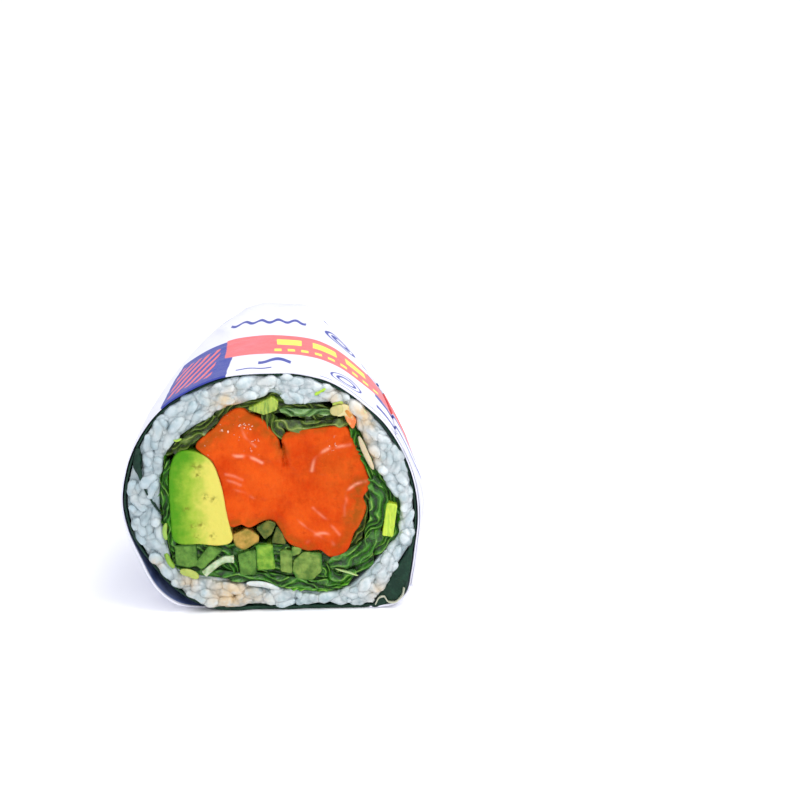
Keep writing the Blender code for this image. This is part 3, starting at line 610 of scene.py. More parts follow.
class Nodes:
    """Adds nodes to one material and joins them, so that a finish reads as a formula.

    A colour is three numbers, six hexadecimal digits or a reading.
    """

    def __init__(self, name, **values):
        self.material = bpy.data.materials.new(name)
        self.material.use_nodes = True
        self.tree = self.material.node_tree
        self.shader = self.tree.nodes["Principled BSDF"]
        for key, value in values.items():
            self.join(value, self.shader.inputs[key.replace("_", " ")])
        self.place = None

    def join(self, value, socket):
        """Sets a socket to a value, or links a reading to it."""
        if isinstance(value, Reading):
            self.tree.links.new(value.socket, socket)
        elif socket.type == "RGBA":
            parts = tone(value) if isinstance(value, str) else value
            socket.default_value = (*parts, 1.0)[:4]
        else:
            socket.default_value = value

    def add(self, kind, output=0, settings=None, **inputs):
        """The reading of one output of a new node, whose inputs are values or readings."""
        node = self.tree.nodes.new(kind)
        for key, value in (settings or {}).items():
            setattr(node, key, value)
        for key, value in inputs.items():
            self.join(value, node.inputs[key.replace("_", " ")])
        return Reading(self, node.outputs[output])

    def math(self, operation, *values):
        """The result of one operation on one number or more."""
        node = self.tree.nodes.new("ShaderNodeMath")
        node.operation = operation
        for value, socket in zip(values, node.inputs):
            self.join(value, socket)
        return Reading(self, node.outputs[0])

    def millimetres(self):
        """Object coordinates in millimetres."""
        if self.place is None:
            metres = self.add("ShaderNodeTexCoord", "Object")
            scaled = {"operation": "SCALE"}
            self.place = self.add("ShaderNodeVectorMath", 0, scaled, Vector=metres, Scale=1 / MM)
        return self.place

    def stretched(self, scale):
        """Object coordinates in millimetres, scaled by a different number along each axis."""
        return self.add("ShaderNodeMapping", Vector=self.millimetres(), Scale=scale)

    def axes(self, vector=None):
        """The three numbers of a vector."""
        node = self.tree.nodes.new("ShaderNodeSeparateXYZ")
        self.join(vector or self.millimetres(), node.inputs[0])
        return [Reading(self, number) for number in node.outputs]

    def noise(self, size, detail=3.0, roughness=0.5, vector=None):
        """Soft noise between 0 and 1 with features about that many millimetres across."""
        place = vector or self.millimetres()
        return self.add(
            "ShaderNodeTexNoise", "Fac", Vector=place, Scale=1 / size, Detail=detail, Roughness=roughness
        )

    def cells(self, size, feature="F1"):
        """Distance to the nearest cell centre or edge, in cells of that many millimetres."""
        kind = {"feature": feature}
        return self.add("ShaderNodeTexVoronoi", "Distance", kind, Vector=self.millimetres(), Scale=1 / size)

    def step(self, value, low, high):
        """A smooth rise from 0 to 1 while the value goes from low to high."""
        smoothly = {"interpolation_type": "SMOOTHSTEP"}
        return self.add("ShaderNodeMapRange", 0, smoothly, Value=value, From_Min=low, From_Max=high)

    def patches(self, size, detail, low, high):
        """Patches where a noise has risen from low to high."""
        return self.step(self.noise(size, detail), low, high)

    def mix(self, share, first, second):
        """A colour between two, by a share from 0 to 1."""
        node = self.tree.nodes.new("ShaderNodeMix")
        node.data_type = "RGBA"
        for value, index in ((share, 0), (first, 6), (second, 7)):
            self.join(value, node.inputs[index])
        return Reading(self, node.outputs[2])

    def attribute(self, name):
        """A value that the piece's points carry."""
        return self.add("ShaderNodeAttribute", "Fac", {"attribute_name": name})

    def finish(self, colour, gloss=None, relief=None, depth=0.0):
        """The material with its colour, its roughness and its relief.

        Gloss is the size of a noise with the least and the greatest roughness. A relief of 1 stands
        for depth in millimetres.
        """
        inputs = self.shader.inputs
        self.join(colour, inputs["Base Color"])
        if gloss:
            size, low, high = gloss
            rough = self.add("ShaderNodeMapRange", Value=self.noise(size), To_Min=low, To_Max=high)
            self.join(rough, inputs["Roughness"])
        if relief:
            self.join(self.add("ShaderNodeBump", Height=relief, Distance=depth * MM), inputs["Normal"])
        return self.material


def print_on_paper(nodes, settings):
    """Colour of the printed side: plain fields and simple shapes by millimetres round and along.

    Across is the way round from the crest, more than 0 to the right, and along is the depth.
    """
    across, along, _ = nodes.axes(nodes.add("ShaderNodeUVMap", settings={"uv_map": "wrap"}))
    across = across * UV_MM + (nodes.noise(9.0, 2.0) * 1.2 - 0.6)
    along = along * UV_MM + (nodes.noise(7.0, 1.0) * 1.2 - 0.6)

    def between(value, low, high):
        """1 while the value is between two edges, and 0 outside them."""
        rise, fall = (nodes.step(value, edge - INK_SOFT, edge + INK_SOFT) for edge in (low, high))
        return rise - fall

    def sine(way, period):
        """A wave between -1 and 1 that repeats each period."""
        return nodes.math("SINE", way * (2 * math.pi / period))

    def field(across_low, across_high, along_low, along_high, slant=0.0):
        """A four-sided field, whose side edges may slant."""
        sides = between(across + along * slant, across_low, across_high)
        return sides * between(along, along_low, along_high)

    def stripes(across_share, along_share, period, part):
        """Stripes that follow each other along one way, and fill a part of each period."""
        level = math.cos(math.pi * part)
        way = across * across_share + along * along_share
        return nodes.step(sine(way, period), level - STRIPE_SOFT, level + STRIPE_SOFT)

    def dashes(length, gap):
        """Cuts a field across into dashes with gaps between them."""
        return between(nodes.math("PINGPONG", across, length), gap, 2 * length)

    def ring(across_at, along_at, radius, width):
        """A ring round one place."""
        to_side = across - across_at
        to_back = along - along_at
        away = nodes.math("SQRT", to_side * to_side + to_back * to_back)
        return between(away, radius - width / 2, radius + width / 2)

    def wave(along_at, swing, period, width, low, high):
        """A waved line across the paper between two edges."""
        off = along - along_at - sine(across, period) * swing
        return between(off, -width / 2, width / 2) * between(across, low, high)

    def any_of(*shapes):
        """1 where any of the shapes is."""
        whole = shapes[0]
        for shape in shapes[1:]:
            whole = nodes.math("MAXIMUM", whole, shape)
        return whole

    navy = any_of(
        field(-26.4, -9.8, -1.0, 34.0, slant=-0.05),
        wave(49.0, 1.3, 5.0, 2.4, -13.0, 9.5),
        wave(12.0, 1.6, 8.0, 2.6, -2.5, 5.0),
        wave(4.5, 0.5, 6.0, 1.2, -7.5, 0.5),
        ring(19.0, 8.5, 4.2, 0.6),
        ring(19.0, 8.5, 2.5, 0.9),
        ring(21.0, 48.0, 5.0, 1.2),
        ring(21.0, 48.0, 2.6, 1.8),
        field(12.0, 64.0, 1.0, 1.5) * dashes(8.0, 1.0),
        field(26.0, 64.0, 2.6, 2.9) * dashes(5.0, 0.7),
        field(28.0, 62.0, 0.9, 50.0) * stripes(0.12, 1.0, 9.0, 0.3),
        field(-80.0, -50.0, 8.0, 48.5) * stripes(0.7, 0.7, 13.0, 0.42),
        field(-60.0, -12.0, 64.0, 90.0) * stripes(0.9, -0.35, 15.0, 0.55),
        field(18.0, 80.0, 62.0, 84.0) * stripes(0.2, 0.95, 12.0, 0.5),
        field(68.0, 90.0, 8.0, 50.0) * stripes(0.6, 0.8, 10.0, 0.35),
    )
    red = any_of(
        field(-25.2, -14.0, 4.0, 28.5, slant=-0.05) * stripes(0.94, -0.34, 2.3, 0.42),
        field(-9.8, 63.0, 18.0, 35.0, slant=0.06),
        field(-26.0, 26.0, 80.0, 95.0),
    )
    yellow = any_of(
        field(0.4, 27.0, 26.5, 31.2) * dashes(4.6, 1.4),
        field(-0.6, 30.0, 20.8, 22.8) * dashes(1.7, 0.8),
    )
    colour = nodes.mix(nodes.noise(26.0, 2.0), settings.plain, "d9d9ec")
    colour = nodes.mix(navy, colour, settings.navy)
    fade = nodes.step(across + nodes.noise(4.0) * 14.0, 34.0, 58.0)
    colour = nodes.mix(red, colour, nodes.mix(fade, "e2686c", settings.red))
    return nodes.mix(yellow, colour, settings.yellow)


def paper_material(settings):
    """Printed wrap: smooth, faintly fibrous, with ink fields on its outer face and painted lavender shade in
    the troughs of its pleats and along its creases.
    """
    nodes = Nodes("paper_printed", Roughness=0.5, Specular_IOR_Level=0.35)
    # Painted shade: lavender in the troughs of the pleats and along the creases
    colour = nodes.mix(nodes.attribute("painted_fold_shade") * 0.55, print_on_paper(nodes, settings), "8f95ba")
    return nodes.finish(colour, (3.0, 0.38, 0.6), nodes.noise(0.35, 2.0) + nodes.noise(6.0) * 6.0, 0.12)


def paper_inside_material():
    """Back of the wrap, in blotchy blues painted as shade inside the wrap."""
    nodes = Nodes("paper_inside", Roughness=0.6)
    # Painted shade: mid and dark blue patches stand for the shade inside the wrap
    colour = nodes.mix(nodes.patches(5.0, 3.0, 0.3, 0.7), "8496cc", "4c5f98")
    return nodes.finish(colour, relief=nodes.noise(0.5, 2.0), depth=0.08)


def seaweed_material(settings):
    """Dark damp sheet with small blisters and a green cast."""
    nodes = Nodes("seaweed", Roughness=0.35, Specular_IOR_Level=0.35, Specular_Tint=(0.6, 1.0, 0.75))
    green = nodes.mix(nodes.patches(2.2, 3.0, 0.35, 0.75), settings.seaweed, "1f4230")
    colour = nodes.mix(nodes.noise(0.6), green, "0c1f1a")
    return nodes.finish(colour, (1.5, 0.22, 0.5), nodes.noise(0.5) + nodes.cells(1.1), 0.18)


def rice_material(settings, name, painted_brightness):
    """Moist clear starch: bluish white, milky in patches, stained where the sauce has run, with painted shade
    towards the left and, on the recessed core, a lower painted brightness.
    """
    nodes = Nodes(
        name, Roughness=0.3, Specular_IOR_Level=0.5, Subsurface_Weight=0.35, Subsurface_Scale=0.0022,
        Subsurface_Radius=(0.9, 1.0, 1.1), Coat_Weight=0.2, Coat_Roughness=0.25, IOR=1.38,
    )
    milky = nodes.patches(1.6, 4.0, 0.32, 0.68)
    # A painted brightness below 1 darkens the rice as shade, as on the recessed core
    share = (nodes.attribute("tone") * 0.45 + milky * 0.55) * painted_brightness
    rice = nodes.mix(share, settings.shade, settings.light)
    # Painted shade: the rice turns darker and bluer towards the left side
    rice = nodes.mix(nodes.step(nodes.axes()[0], -9.0, -31.0) * 0.5, rice, "8ea6b0")
    rice = nodes.mix(nodes.patches(7.0, 2.0, 0.55, 0.75) * 0.3, rice, "dcd8cc")
    rice = nodes.mix(nodes.attribute("stain") * nodes.patches(2.6, 3.0, 0.25, 0.6), rice, settings.stain)
    return nodes.finish(rice, (0.9, 0.18, 0.42), nodes.noise(0.8, 2.0) + nodes.noise(2.0, 2.0), 0.16)


def salmon_material(settings):
    """Wet raw fish: fine muscle fibres, paler fatty lines with painted highlight streaks, and small bead-like
    bumps with painted glints.
    """
    nodes = Nodes(
        "salmon_flesh", Roughness=0.3, Specular_IOR_Level=0.4, Specular_Tint=(1.0, 0.35, 0.08),
        Subsurface_Weight=0.1, Subsurface_Scale=0.0015, Subsurface_Radius=(1.0, 0.3, 0.1),
    )
    fibres = nodes.noise(0.8, vector=nodes.stretched((1.0, 0.3, 0.6)))
    share = nodes.step(nodes.noise(7.0, 4.0) * 0.8 + fibres * 0.2, 0.28, 0.76)
    flesh = nodes.mix(share, settings.salmon, settings.salmon_light)
    deep = nodes.step(nodes.noise(2.6, 5.0, roughness=0.65), 0.54, 0.72)
    flesh = nodes.mix(deep * 0.5, flesh, "ac3204")
    # The colour of the fatty lines, which also carries the painted highlight streaks
    flesh = nodes.mix(nodes.attribute("fat_and_highlight") * 0.85, flesh, settings.fat_and_highlight)
    # Darker brown along the listed paths, broken into patches
    stained = nodes.attribute("brown_paths") * nodes.patches(1.8, 4.0, 0.25, 0.6)
    flesh = nodes.mix(stained * 0.85, flesh, "8c4a12")
    # Painted glints: small pale flecks in the glint area, with bumps of the same shape
    glint_beads = nodes.patches(0.8, 1.0, 0.66, 0.72) * nodes.attribute("glint_area")
    flesh = nodes.mix(glint_beads * 0.75, flesh, "ffd9c4")
    return nodes.finish(flesh, (1.2, 0.16, 0.45), fibres * 0.5 + nodes.noise(1.6, 4.0) + glint_beads, 0.25)


def avocado_material(settings):
    """Creamy flesh that goes from yellow by the stone to green under the peel, with brown specks."""
    nodes = Nodes(
        "avocado_flesh", Roughness=0.45, Specular_IOR_Level=0.4, Specular_Tint=(0.8, 1.0, 0.3),
        Subsurface_Weight=0.1, Subsurface_Scale=0.0015,
    )
    share = nodes.attribute("flesh") + (nodes.noise(1.9, 5.0) * 0.56 - 0.28)
    green = nodes.mix(nodes.step(share, 0.02, 0.5), settings.avocado_green, "90b034")
    colour = nodes.mix(nodes.step(share, 0.35, 0.92), green, settings.avocado_yellow)
    speck = nodes.attribute("speck") * nodes.patches(0.7, 3.0, 0.42, 0.6)
    colour = nodes.mix(speck * 0.8, colour, "6d6a1c")
    return nodes.finish(colour, (1.0, 0.35, 0.55), nodes.noise(0.7) + nodes.noise(2.6), 0.16)


def cucumber_material(name, flesh, deep, skin_colour):
    """Wet cut flesh, clearer in the middle, with a darker line of skin on some sides."""
    nodes = Nodes(
        name, Roughness=0.25, Specular_Tint=(0.7, 1.0, 0.3), Subsurface_Weight=0.15, Subsurface_Scale=0.0015,
        Coat_Weight=0.08, Coat_Roughness=0.15,
    )
    colour = nodes.mix(nodes.patches(1.7, 4.0, 0.3, 0.7), deep, flesh)
    rim = nodes.attribute("rim") * nodes.patches(3.0, 3.0, 0.4, 0.6)
    return nodes.finish(nodes.mix(rim, colour, skin_colour), (0.8, 0.15, 0.35), nodes.noise(0.7), 0.2)


def stalk_material(name, flesh, deep):
    """Wet stalk with fine lines along it."""
    nodes = Nodes(name, Roughness=0.3, Subsurface_Weight=0.2, Subsurface_Scale=0.0015, Coat_Weight=0.2)
    lines = nodes.noise(0.8, vector=nodes.stretched((1.6, 0.2, 0.35)))
    colour = nodes.mix(nodes.step(lines, 0.35, 0.65), deep, flesh)
    return nodes.finish(colour, (1.0, 0.2, 0.4), lines, 0.2)


LEAF_KINDS = {
    # faces in painted shade, faces in painted light, veins, and pale edges that carry a painted highlight
    "leaf": ("103408", "2c6c12", "4f9426", "90be50"),
    "olive": ("22320c", "4a641c", "6c8630", "98a852"),
    "pale": ("2c5a1c", "6f9c50", "94b878", "bcd2a8"),
    "rim": ("2f7514", "4f9a1e", "74b834", "96cc48"),
}


def lettuce_material(kind):
    """Waxy leaf: dark faces with a net of veins, painted shade in the troughs of its folds, and paler edges
    with a painted highlight on their crests.
    """
    shade, light, vein, rim = LEAF_KINDS[kind]
    nodes = Nodes(
        f"lettuce_{kind}", Roughness=0.32, Specular_IOR_Level=0.5,
        Subsurface_Weight=0.08, Subsurface_Scale=0.001,
    )
    veins = nodes.step(nodes.cells(1.5, "DISTANCE_TO_EDGE"), 0.10, 0.0)
    crest = nodes.attribute("crest")
    face = nodes.mix(nodes.patches(2.4, 3.0, 0.35, 0.65), shade, light)
    face = nodes.mix(veins * 0.35, face, vein)
    # Painted highlight: the crests of the folds turn paler
    face = nodes.mix(nodes.step(crest, 0.5, 0.95) * 0.6, face, vein)
    # Painted shade: the troughs between the folds turn darker
    face = nodes.mix(nodes.step(crest, 0.4, 0.0) * 0.75, face, tuple(0.35 * part for part in tone(shade)))
    # Pale edges on the crests: partly the leaf's own paler edge, partly a painted highlight
    face = nodes.mix(nodes.attribute("edge"), face, rim)
    return nodes.finish(face, (1.0, 0.2, 0.42), nodes.noise(0.9) + veins * 0.5, 0.16)


def sauce_material(settings):
    """Thick glossy sauce: cream with an orange run on its lower right."""
    nodes = Nodes(
        "sauce", Roughness=0.2, Subsurface_Weight=0.2, Subsurface_Scale=0.002,
        Coat_Weight=0.4, Coat_Roughness=0.15,
    )
    x, _, z = nodes.axes()
    run = nodes.step(x * 0.7 - z * 0.7 + nodes.noise(1.4) * 5.0, -19.6, -17.4)
    colour = nodes.mix(run, settings.sauce, "e0701c")
    return nodes.finish(colour, (0.8, 0.12, 0.3), nodes.noise(1.0), 0.25)


def creases(across, along, depth):
    """Height of the paper's creases: soft ridges along random lines, fading at both their ends.

    A ridge is depth times the bell curve of the distance from its line, times a bell along it.
    """
    random = np.random.default_rng(11)
    height = np.zeros(np.broadcast(across, along).shape)
    for _ in range(CREASES):
        centre = random.uniform((-95.0, 2.0), (95.0, 88.0))
        angle = random.normal(math.pi / 2, 0.75)
        width = random.uniform(0.7, 2.2)
        reach = random.uniform(6.0, 20.0)
        high = random.uniform(0.3, 1.0)
        off = (across - centre[0]) * math.sin(angle) - (along - centre[1]) * math.cos(angle)
        on = (across - centre[0]) * math.cos(angle) + (along - centre[1]) * math.sin(angle)
        height += high * np.exp(-np.abs(off / width) ** 1.3) * np.exp(-((on / reach) ** 2))
    return depth * np.minimum(height, 1.6)


def around_shares(count):
    """Way round the rim from its crest for each point, in millimetres, more than 0 to the right."""
    rim = closed_rim(count)
    run = way_along(rim)
    return run[rim[:, 1].argmax()] - run


def loose_corner(rim, depth):
    """How far the paper stands off the roll at the lower left: a bell round one angle."""
    angle = np.arctan2(rim[:, 1] - AXIS_Z, rim[:, 0])
    bell = np.exp(-(((angle - LOOSE_ANGLE) / LOOSE_SPREAD) ** 2))
    return LOOSE_PAPER * bell * np.exp(-np.maximum(depth, 0.0) / LOOSE_REACH)


def pleats(count, depth):
    """Height and share of the gathered paper's folds: triangle waves that deepen to the end."""
    rise = smooth((depth / LENGTH - PLEAT_START + 0.06) / (PLEAT_RISE + 0.06))
    start = np.linalg.norm(closed_rim(count) - FIRST_PLEAT, axis=1).argmin() / (count - 1)
    turn = (np.linspace(0, 1, count) - start) * 2 * PLEATS + PLEAT_TWIST * rise**2
    main = np.abs(turn % 2 - 1) ** 1.2
    small = np.abs((turn * 2.7 + 0.4) % 2 - 1)
    vary = 0.75 + 0.25 * np.sin(turn * 1.7 + 0.6)
    return PLEAT_DEPTH * rise * (0.86 * main * vary + 0.14 * small), rise


def paper_face(depths, inside, crease):
    """One face of the paper as rows of points, from the rim back to the gathered end.

    Also gives the painted shade of each point: more the deeper it lies in the troughs of the pleats, and some
    near a crease.
    """
    rim = closed_rim(PAPER_POINTS)
    depth = depths[:, None]
    loop = inset(np.broadcast_to(rim, (len(depths), PAPER_POINTS, 2)), inside - loose_corner(rim, depth))
    points = carry(loop, depth, layer_length(inside))
    flat = points[..., [0, 2]]
    across = around_shares(PAPER_POINTS)
    settle = smooth(depth / 5.0) * smooth((LENGTH - depth) / 10.0)
    folds, rise = pleats(PAPER_POINTS, depth)
    lines = creases(across[None, :], depth, crease) * settle
    points[..., [0, 2]] = flat + outward(flat) * (folds + lines)[..., None]
    # Painted shade: deepest in the troughs of the pleats, with a lighter share along the creases
    painted_fold_shade = np.clip(rise * (1 - folds / (0.8 * PLEAT_DEPTH)), 0, 1)
    painted_fold_shade = painted_fold_shade + 0.35 * np.clip(lines / CREASE_DEPTH, 0, 1)
    points[..., 2] = np.clip(points[..., 2], inside, HEIGHT - inside)
    under = smooth((4.0 - rim[:, 1]) / 4.0) * smooth((24.0 - rim[:, 0]) / 6.0)
    ragged = 0.35 * (1 + ripple(across, 5.0, 3)) + 3.1 * under
    points[..., 1] += ragged * np.exp(-depth / EDGE_REACH)
    return points, painted_fold_shade


def gathered_end(points, inside):
    """Rows that close a face of the paper: its last row drawn to the middle and dented inwards."""
    last = points[-1]
    centre = last[:-1].mean(axis=0)
    rows = centre + (last - centre) * np.array(END_SHARES)[:, None, None]
    rows[..., 1] = last[:, 1] - np.array(END_DENTS)[:, None] - inside
    return np.concatenate([points, rows])


def make_paper(settings):
    """The paper wrap: both its faces as one grid, from the outer pole over the rim to the inner pole."""
    material = paper_material(settings)
    closing = len(END_SHARES)
    faces = []
    for inside in (0.0, PAPER):
        last = END_SHARE * layer_length(inside)
        depths = np.concatenate([np.linspace(0, 6, 13), np.linspace(6.9, last, PAPER_ROWS)])
        points, painted_fold_shade = paper_face(depths, inside, settings.crease / MM)
        painted_fold_shade = np.concatenate([painted_fold_shade, np.repeat(painted_fold_shade[-1:], closing, axis=0)])
        points = gathered_end(points, inside)
        along = np.concatenate([depths, depths[-1] + np.arange(1, closing + 1)])[:, None]
        places = np.stack(np.broadcast_arrays(around_shares(PAPER_POINTS), along), axis=-1) / UV_MM
        faces.append((points, places, painted_fold_shade))
    grid, uv, painted_fold_shade = (np.concatenate([outer[::-1], inner]) for outer, inner in zip(*faces))
    skin(
        "paper_wrap", grid, material, ["wrapper"], uv=uv, values={"painted_fold_shade": painted_fold_shade},
        inner_rows=len(faces[1][0]) - PRINTED_ROWS_INSIDE, inner=paper_inside_material(),
    )
    return material


def closed_tube(near, far):
    """Two faces joined round their side edges into one tube, with its first and last rows pinched flat."""
    half = (near + far) / 2
    pairs = ((near, far), (half, half))
    tube, pinch = (np.concatenate([one, other[:, ::-1], one[:, :1]], axis=1) for one, other in pairs)
    return np.concatenate([pinch[:1], tube, pinch[-1:]])


def make_flap(settings, material):
    """The paper's free end, lapped over the right side: two slabs between offsets of the rim."""
    rim = closed_rim(FLAP_NET)
    order = np.flatnonzero((rim[:, 0] > 0) & (rim[:, 1] > FLAP_FOOT + 1) & (rim[:, 1] < FLAP_TOP - 0.5))
    picks = order[np.linspace(0, len(order) - 1, FLAP_POINTS).astype(int)]
    path = rim[picks]
    side = outward(rim)[picks]
    across = around_shares(FLAP_NET)[picks]
    depth = np.linspace(0.3, FLAP_LENGTH, FLAP_ROWS)[:, None]
    ridge = FLAP_RIDGE * np.exp(-(((path[:, 1] - FLAP_RIDGE_Z) / FLAP_RIDGE_SPREAD) ** 2))
    swell = ridge * np.exp(-depth / LOOSE_REACH)
    relief = creases(across[None, :], depth, settings.crease / MM) * smooth(depth / 5.0)
    ragged = 0.25 * (1 + ripple(across, 4.0, 5)) * np.exp(-depth / EDGE_REACH)
    grids = []
    for low, high in ((0.0, 0.5), (0.5, 1.0)):
        stand = 0.08 + low * (swell + GAP) + relief
        thick = 0.4 * PAPER + (high - low) * (swell + GAP)
        offsets = (stand, stand + thick)
        near, far = (carry(path + side * off[..., None], depth + ragged * high, LENGTH) for off in offsets)
        grids.append(closed_tube(near, far))
    ways = np.concatenate([across, across[::-1], across[:1]])
    along = np.concatenate([depth[:1], depth, depth[-1:]])
    uv = np.stack(np.broadcast_arrays(ways, along), axis=-1) / UV_MM
    skin("paper_flap", np.array(grids), material, ["wrapper_flap"], uv=np.array([uv, uv]))


def make_paper_fold():
    """The small folds of paper at the foot of the seaweed's corner."""
    nodes = Nodes("paper_edge", Roughness=0.5)
    colour = nodes.mix(nodes.noise(1.6), "e0e0d6", "8f9464")
    material = nodes.finish(colour, relief=nodes.noise(0.8, 2.0), depth=0.08)
    grid = sheet_grid(PAPER_FOLD, 0.28, front=(-0.1, 0.4, 2.0, 16), side=(0.22, 1.5, 15), end=0.03)
    skin("paper_fold", grid, material)


def behind_chord(loop, shift):
    """The loop with its lower right corner pressed flat on the chord of the seaweed's fold."""
    top = np.array(FOLD_TOP)
    foot = np.array(FOLD_FOOT)
    way = (top - foot) / np.linalg.norm(top - foot)
    out = np.array([way[1], -way[0]])
    over = np.maximum((loop - foot) @ out - shift, 0.0)
    return loop - over[..., None] * out


def layer_depths(last, rows=40):
    """Depths from just behind the cut face to the last one, closer together at the end."""
    share = np.linspace(0, 1, rows + 1)[1:, None]
    return last * (1 - (1 - share) ** 1.3)


def wall(outer, inner, lengths, ends, front, across_rows, relief):
    """A cup as one grid: outer pole, outer side, front face, inner side, inner pole.

    The lengths set how its two sides narrow, and the ends are the depths where they close.
    """
    outer_length, inner_length = lengths
    outer_side = carry(outer, front + layer_depths(ends[0]), outer_length)
    inner_side = carry(inner, front + layer_depths(ends[1]), inner_length)
    share = np.linspace(0, 1, across_rows)[:, None]
    section = outer[None] * (1 - share[..., None]) + inner[None] * share[..., None]
    round_off = (np.abs(share - 0.5) * 2) ** 8
    depth = front + relief(section[..., 0], section[..., 1]) + 0.3 * round_off
    face = carry(section, np.broadcast_to(depth, section.shape[:2]), outer_length)
    outer_pole = np.broadcast_to(outer_side[-1][:-1].mean(axis=0), outer_side[-1:].shape)
    inner_pole = np.broadcast_to(inner_side[-1][:-1].mean(axis=0), inner_side[-1:].shape)
    return np.concatenate([outer_pole, outer_side[::-1], face, inner_side, inner_pole])


def make_seaweed(settings):
    """The seaweed: a thin cup with a ridged corner at the lower right, and its wedge inside the rice."""
    material = seaweed_material(settings)
    outer = rim_inset(SEAWEED_POINTS, PAPER + GAP)
    inner = behind_chord(rim_inset(SEAWEED_POINTS, PAPER + GAP + NORI), GAP)

    def relief(x, z):
        corner = smooth((x - z * 0.62 - 21.5) / 2.0)
        folds = 0.7 * np.abs(np.sin(0.62 * (x + 0.7 * z) + 0.9 * noise(x, z, 3.0, 22)))
        return 0.75 + 0.3 * noise(x, z, 4.0, 21) + corner * (folds - 0.75)

    lengths = (layer_length(PAPER + GAP), layer_length(PAPER + GAP + NORI))
    grid = wall(outer, inner, lengths, SEAWEED_ENDS, front=0.0, across_rows=16, relief=relief)
    foot = smooth((1.5 - grid[..., 2]) / 0.8) * smooth((3.5 - grid[..., 1]) / 2.0)
    grid[..., 2] = np.maximum(grid[..., 2] - 0.6 * foot, 0.06)
    skin("seaweed_sheet", grid, material, ["nori"])
    half = lap_shape()[1]
    wedge = sheet_grid(
        LAP, 2 * half[:, None], front=(0.1, 0.3, 1.6, 24), side=(0.25, 2.0, 23), end=0.04, columns=LAP_POINTS
    )
    skin("seaweed_lap", wedge, material)


def lap_shape():
    """The line of the seaweed's inner wedge, and half of its width: a bell round its upper part."""
    line = curve_through(LAP, LAP_POINTS, False)
    return line, LAP_HALF + LAP_SWELL * np.exp(-(((line[:, 1] - LAP_WIDEST) / LAP_SPREAD) ** 2))


def hollow_loop(count):
    """The hollow's outline at the same angles round the axis as the rice's outer side."""
    outer = rice_outside(count)
    dense = curve_through(CAVITY, 1200, True)
    centre = np.array([0.0, AXIS_Z])
    wanted = np.arctan2(outer[:, 1] - centre[1], outer[:, 0] - centre[0])
    angle = np.arctan2(dense[:, 1] - centre[1], dense[:, 0] - centre[0])
    order = np.argsort(angle)
    reach = np.interp(wanted, angle[order], np.linalg.norm(dense - centre, axis=1)[order], period=2 * math.pi)
    return centre + np.stack([np.cos(wanted), np.sin(wanted)], axis=1) * reach[:, None]


def rice_outside(count):
    """Cross section of the rice's outer side."""
    return behind_chord(rim_inset(count, PAPER + NORI + 2 * GAP), 0.0)


def grain_limit(count):
    """How far out the grains reach: over the seaweed's edge at the top, and less at the left."""
    rim = closed_rim(count)
    left = smooth((-rim[:, 0] - 18.0) / 10.0)
    reach = 0.88 + 0.5 * left + 0.2 * noise(rim[:, 0], rim[:, 1], 6.0, 33)
    return behind_chord(inset(rim, reach), 0.3)


def room_inside(points, loop):
    """Distance from each point to a loop, counted as less than nothing outside it."""
    start = loop[:-1]
    end = loop[1:]
    way = end - start
    away = points[:, None, :] - start
    share = np.clip((away * way).sum(2) / np.maximum((way * way).sum(1), 1e-9), 0, 1)
    distance = np.linalg.norm(away - share[..., None] * way, axis=2).min(1)
    crossed = (start[:, 1] > points[:, None, 1]) != (end[:, 1] > points[:, None, 1])
    slope = np.where(way[:, 1] == 0, 1e-9, way[:, 1])
    at = start[:, 0] + (points[:, None, 1] - start[:, 1]) * way[:, 0] / slope
    within = (crossed & (points[:, None, 0] < at)).sum(1) % 2 == 1
    return np.where(within, distance, -distance)


class RiceMap:
    """Room on the ring of rice: at each knot of a fine net, the distance to the nearer edge."""

    STEP = 0.4

    def __init__(self):
        self.low = np.array([-36.0, -1.0])
        x = np.arange(self.low[0], 36.0, self.STEP)
        z = np.arange(self.low[1], HEIGHT + 2.0, self.STEP)
        net = np.stack(np.meshgrid(x, z, indexing="ij"), axis=-1)
        flat = net.reshape(-1, 2)
        line, half = lap_shape()
        rooms = [
            room_inside(flat, grain_limit(MAP_POINTS)),
            -room_inside(flat, hollow_loop(MAP_POINTS)),
            (np.linalg.norm(flat[:, None] - line, axis=2) - half).min(axis=1),
        ]
        self.room = np.min(rooms, axis=0).reshape(net.shape[:2])

    def at(self, points):
        """Room at any points, blended between the four nearest knots."""
        place = (points - self.low) / self.STEP
        limit = np.array(self.room.shape) - 2
        base = np.clip(np.floor(place).astype(int), 0, limit)
        part = np.clip(place - base, 0, 1)
        return blend(self.room, base[..., 0], base[..., 1], part[..., 0], part[..., 1])


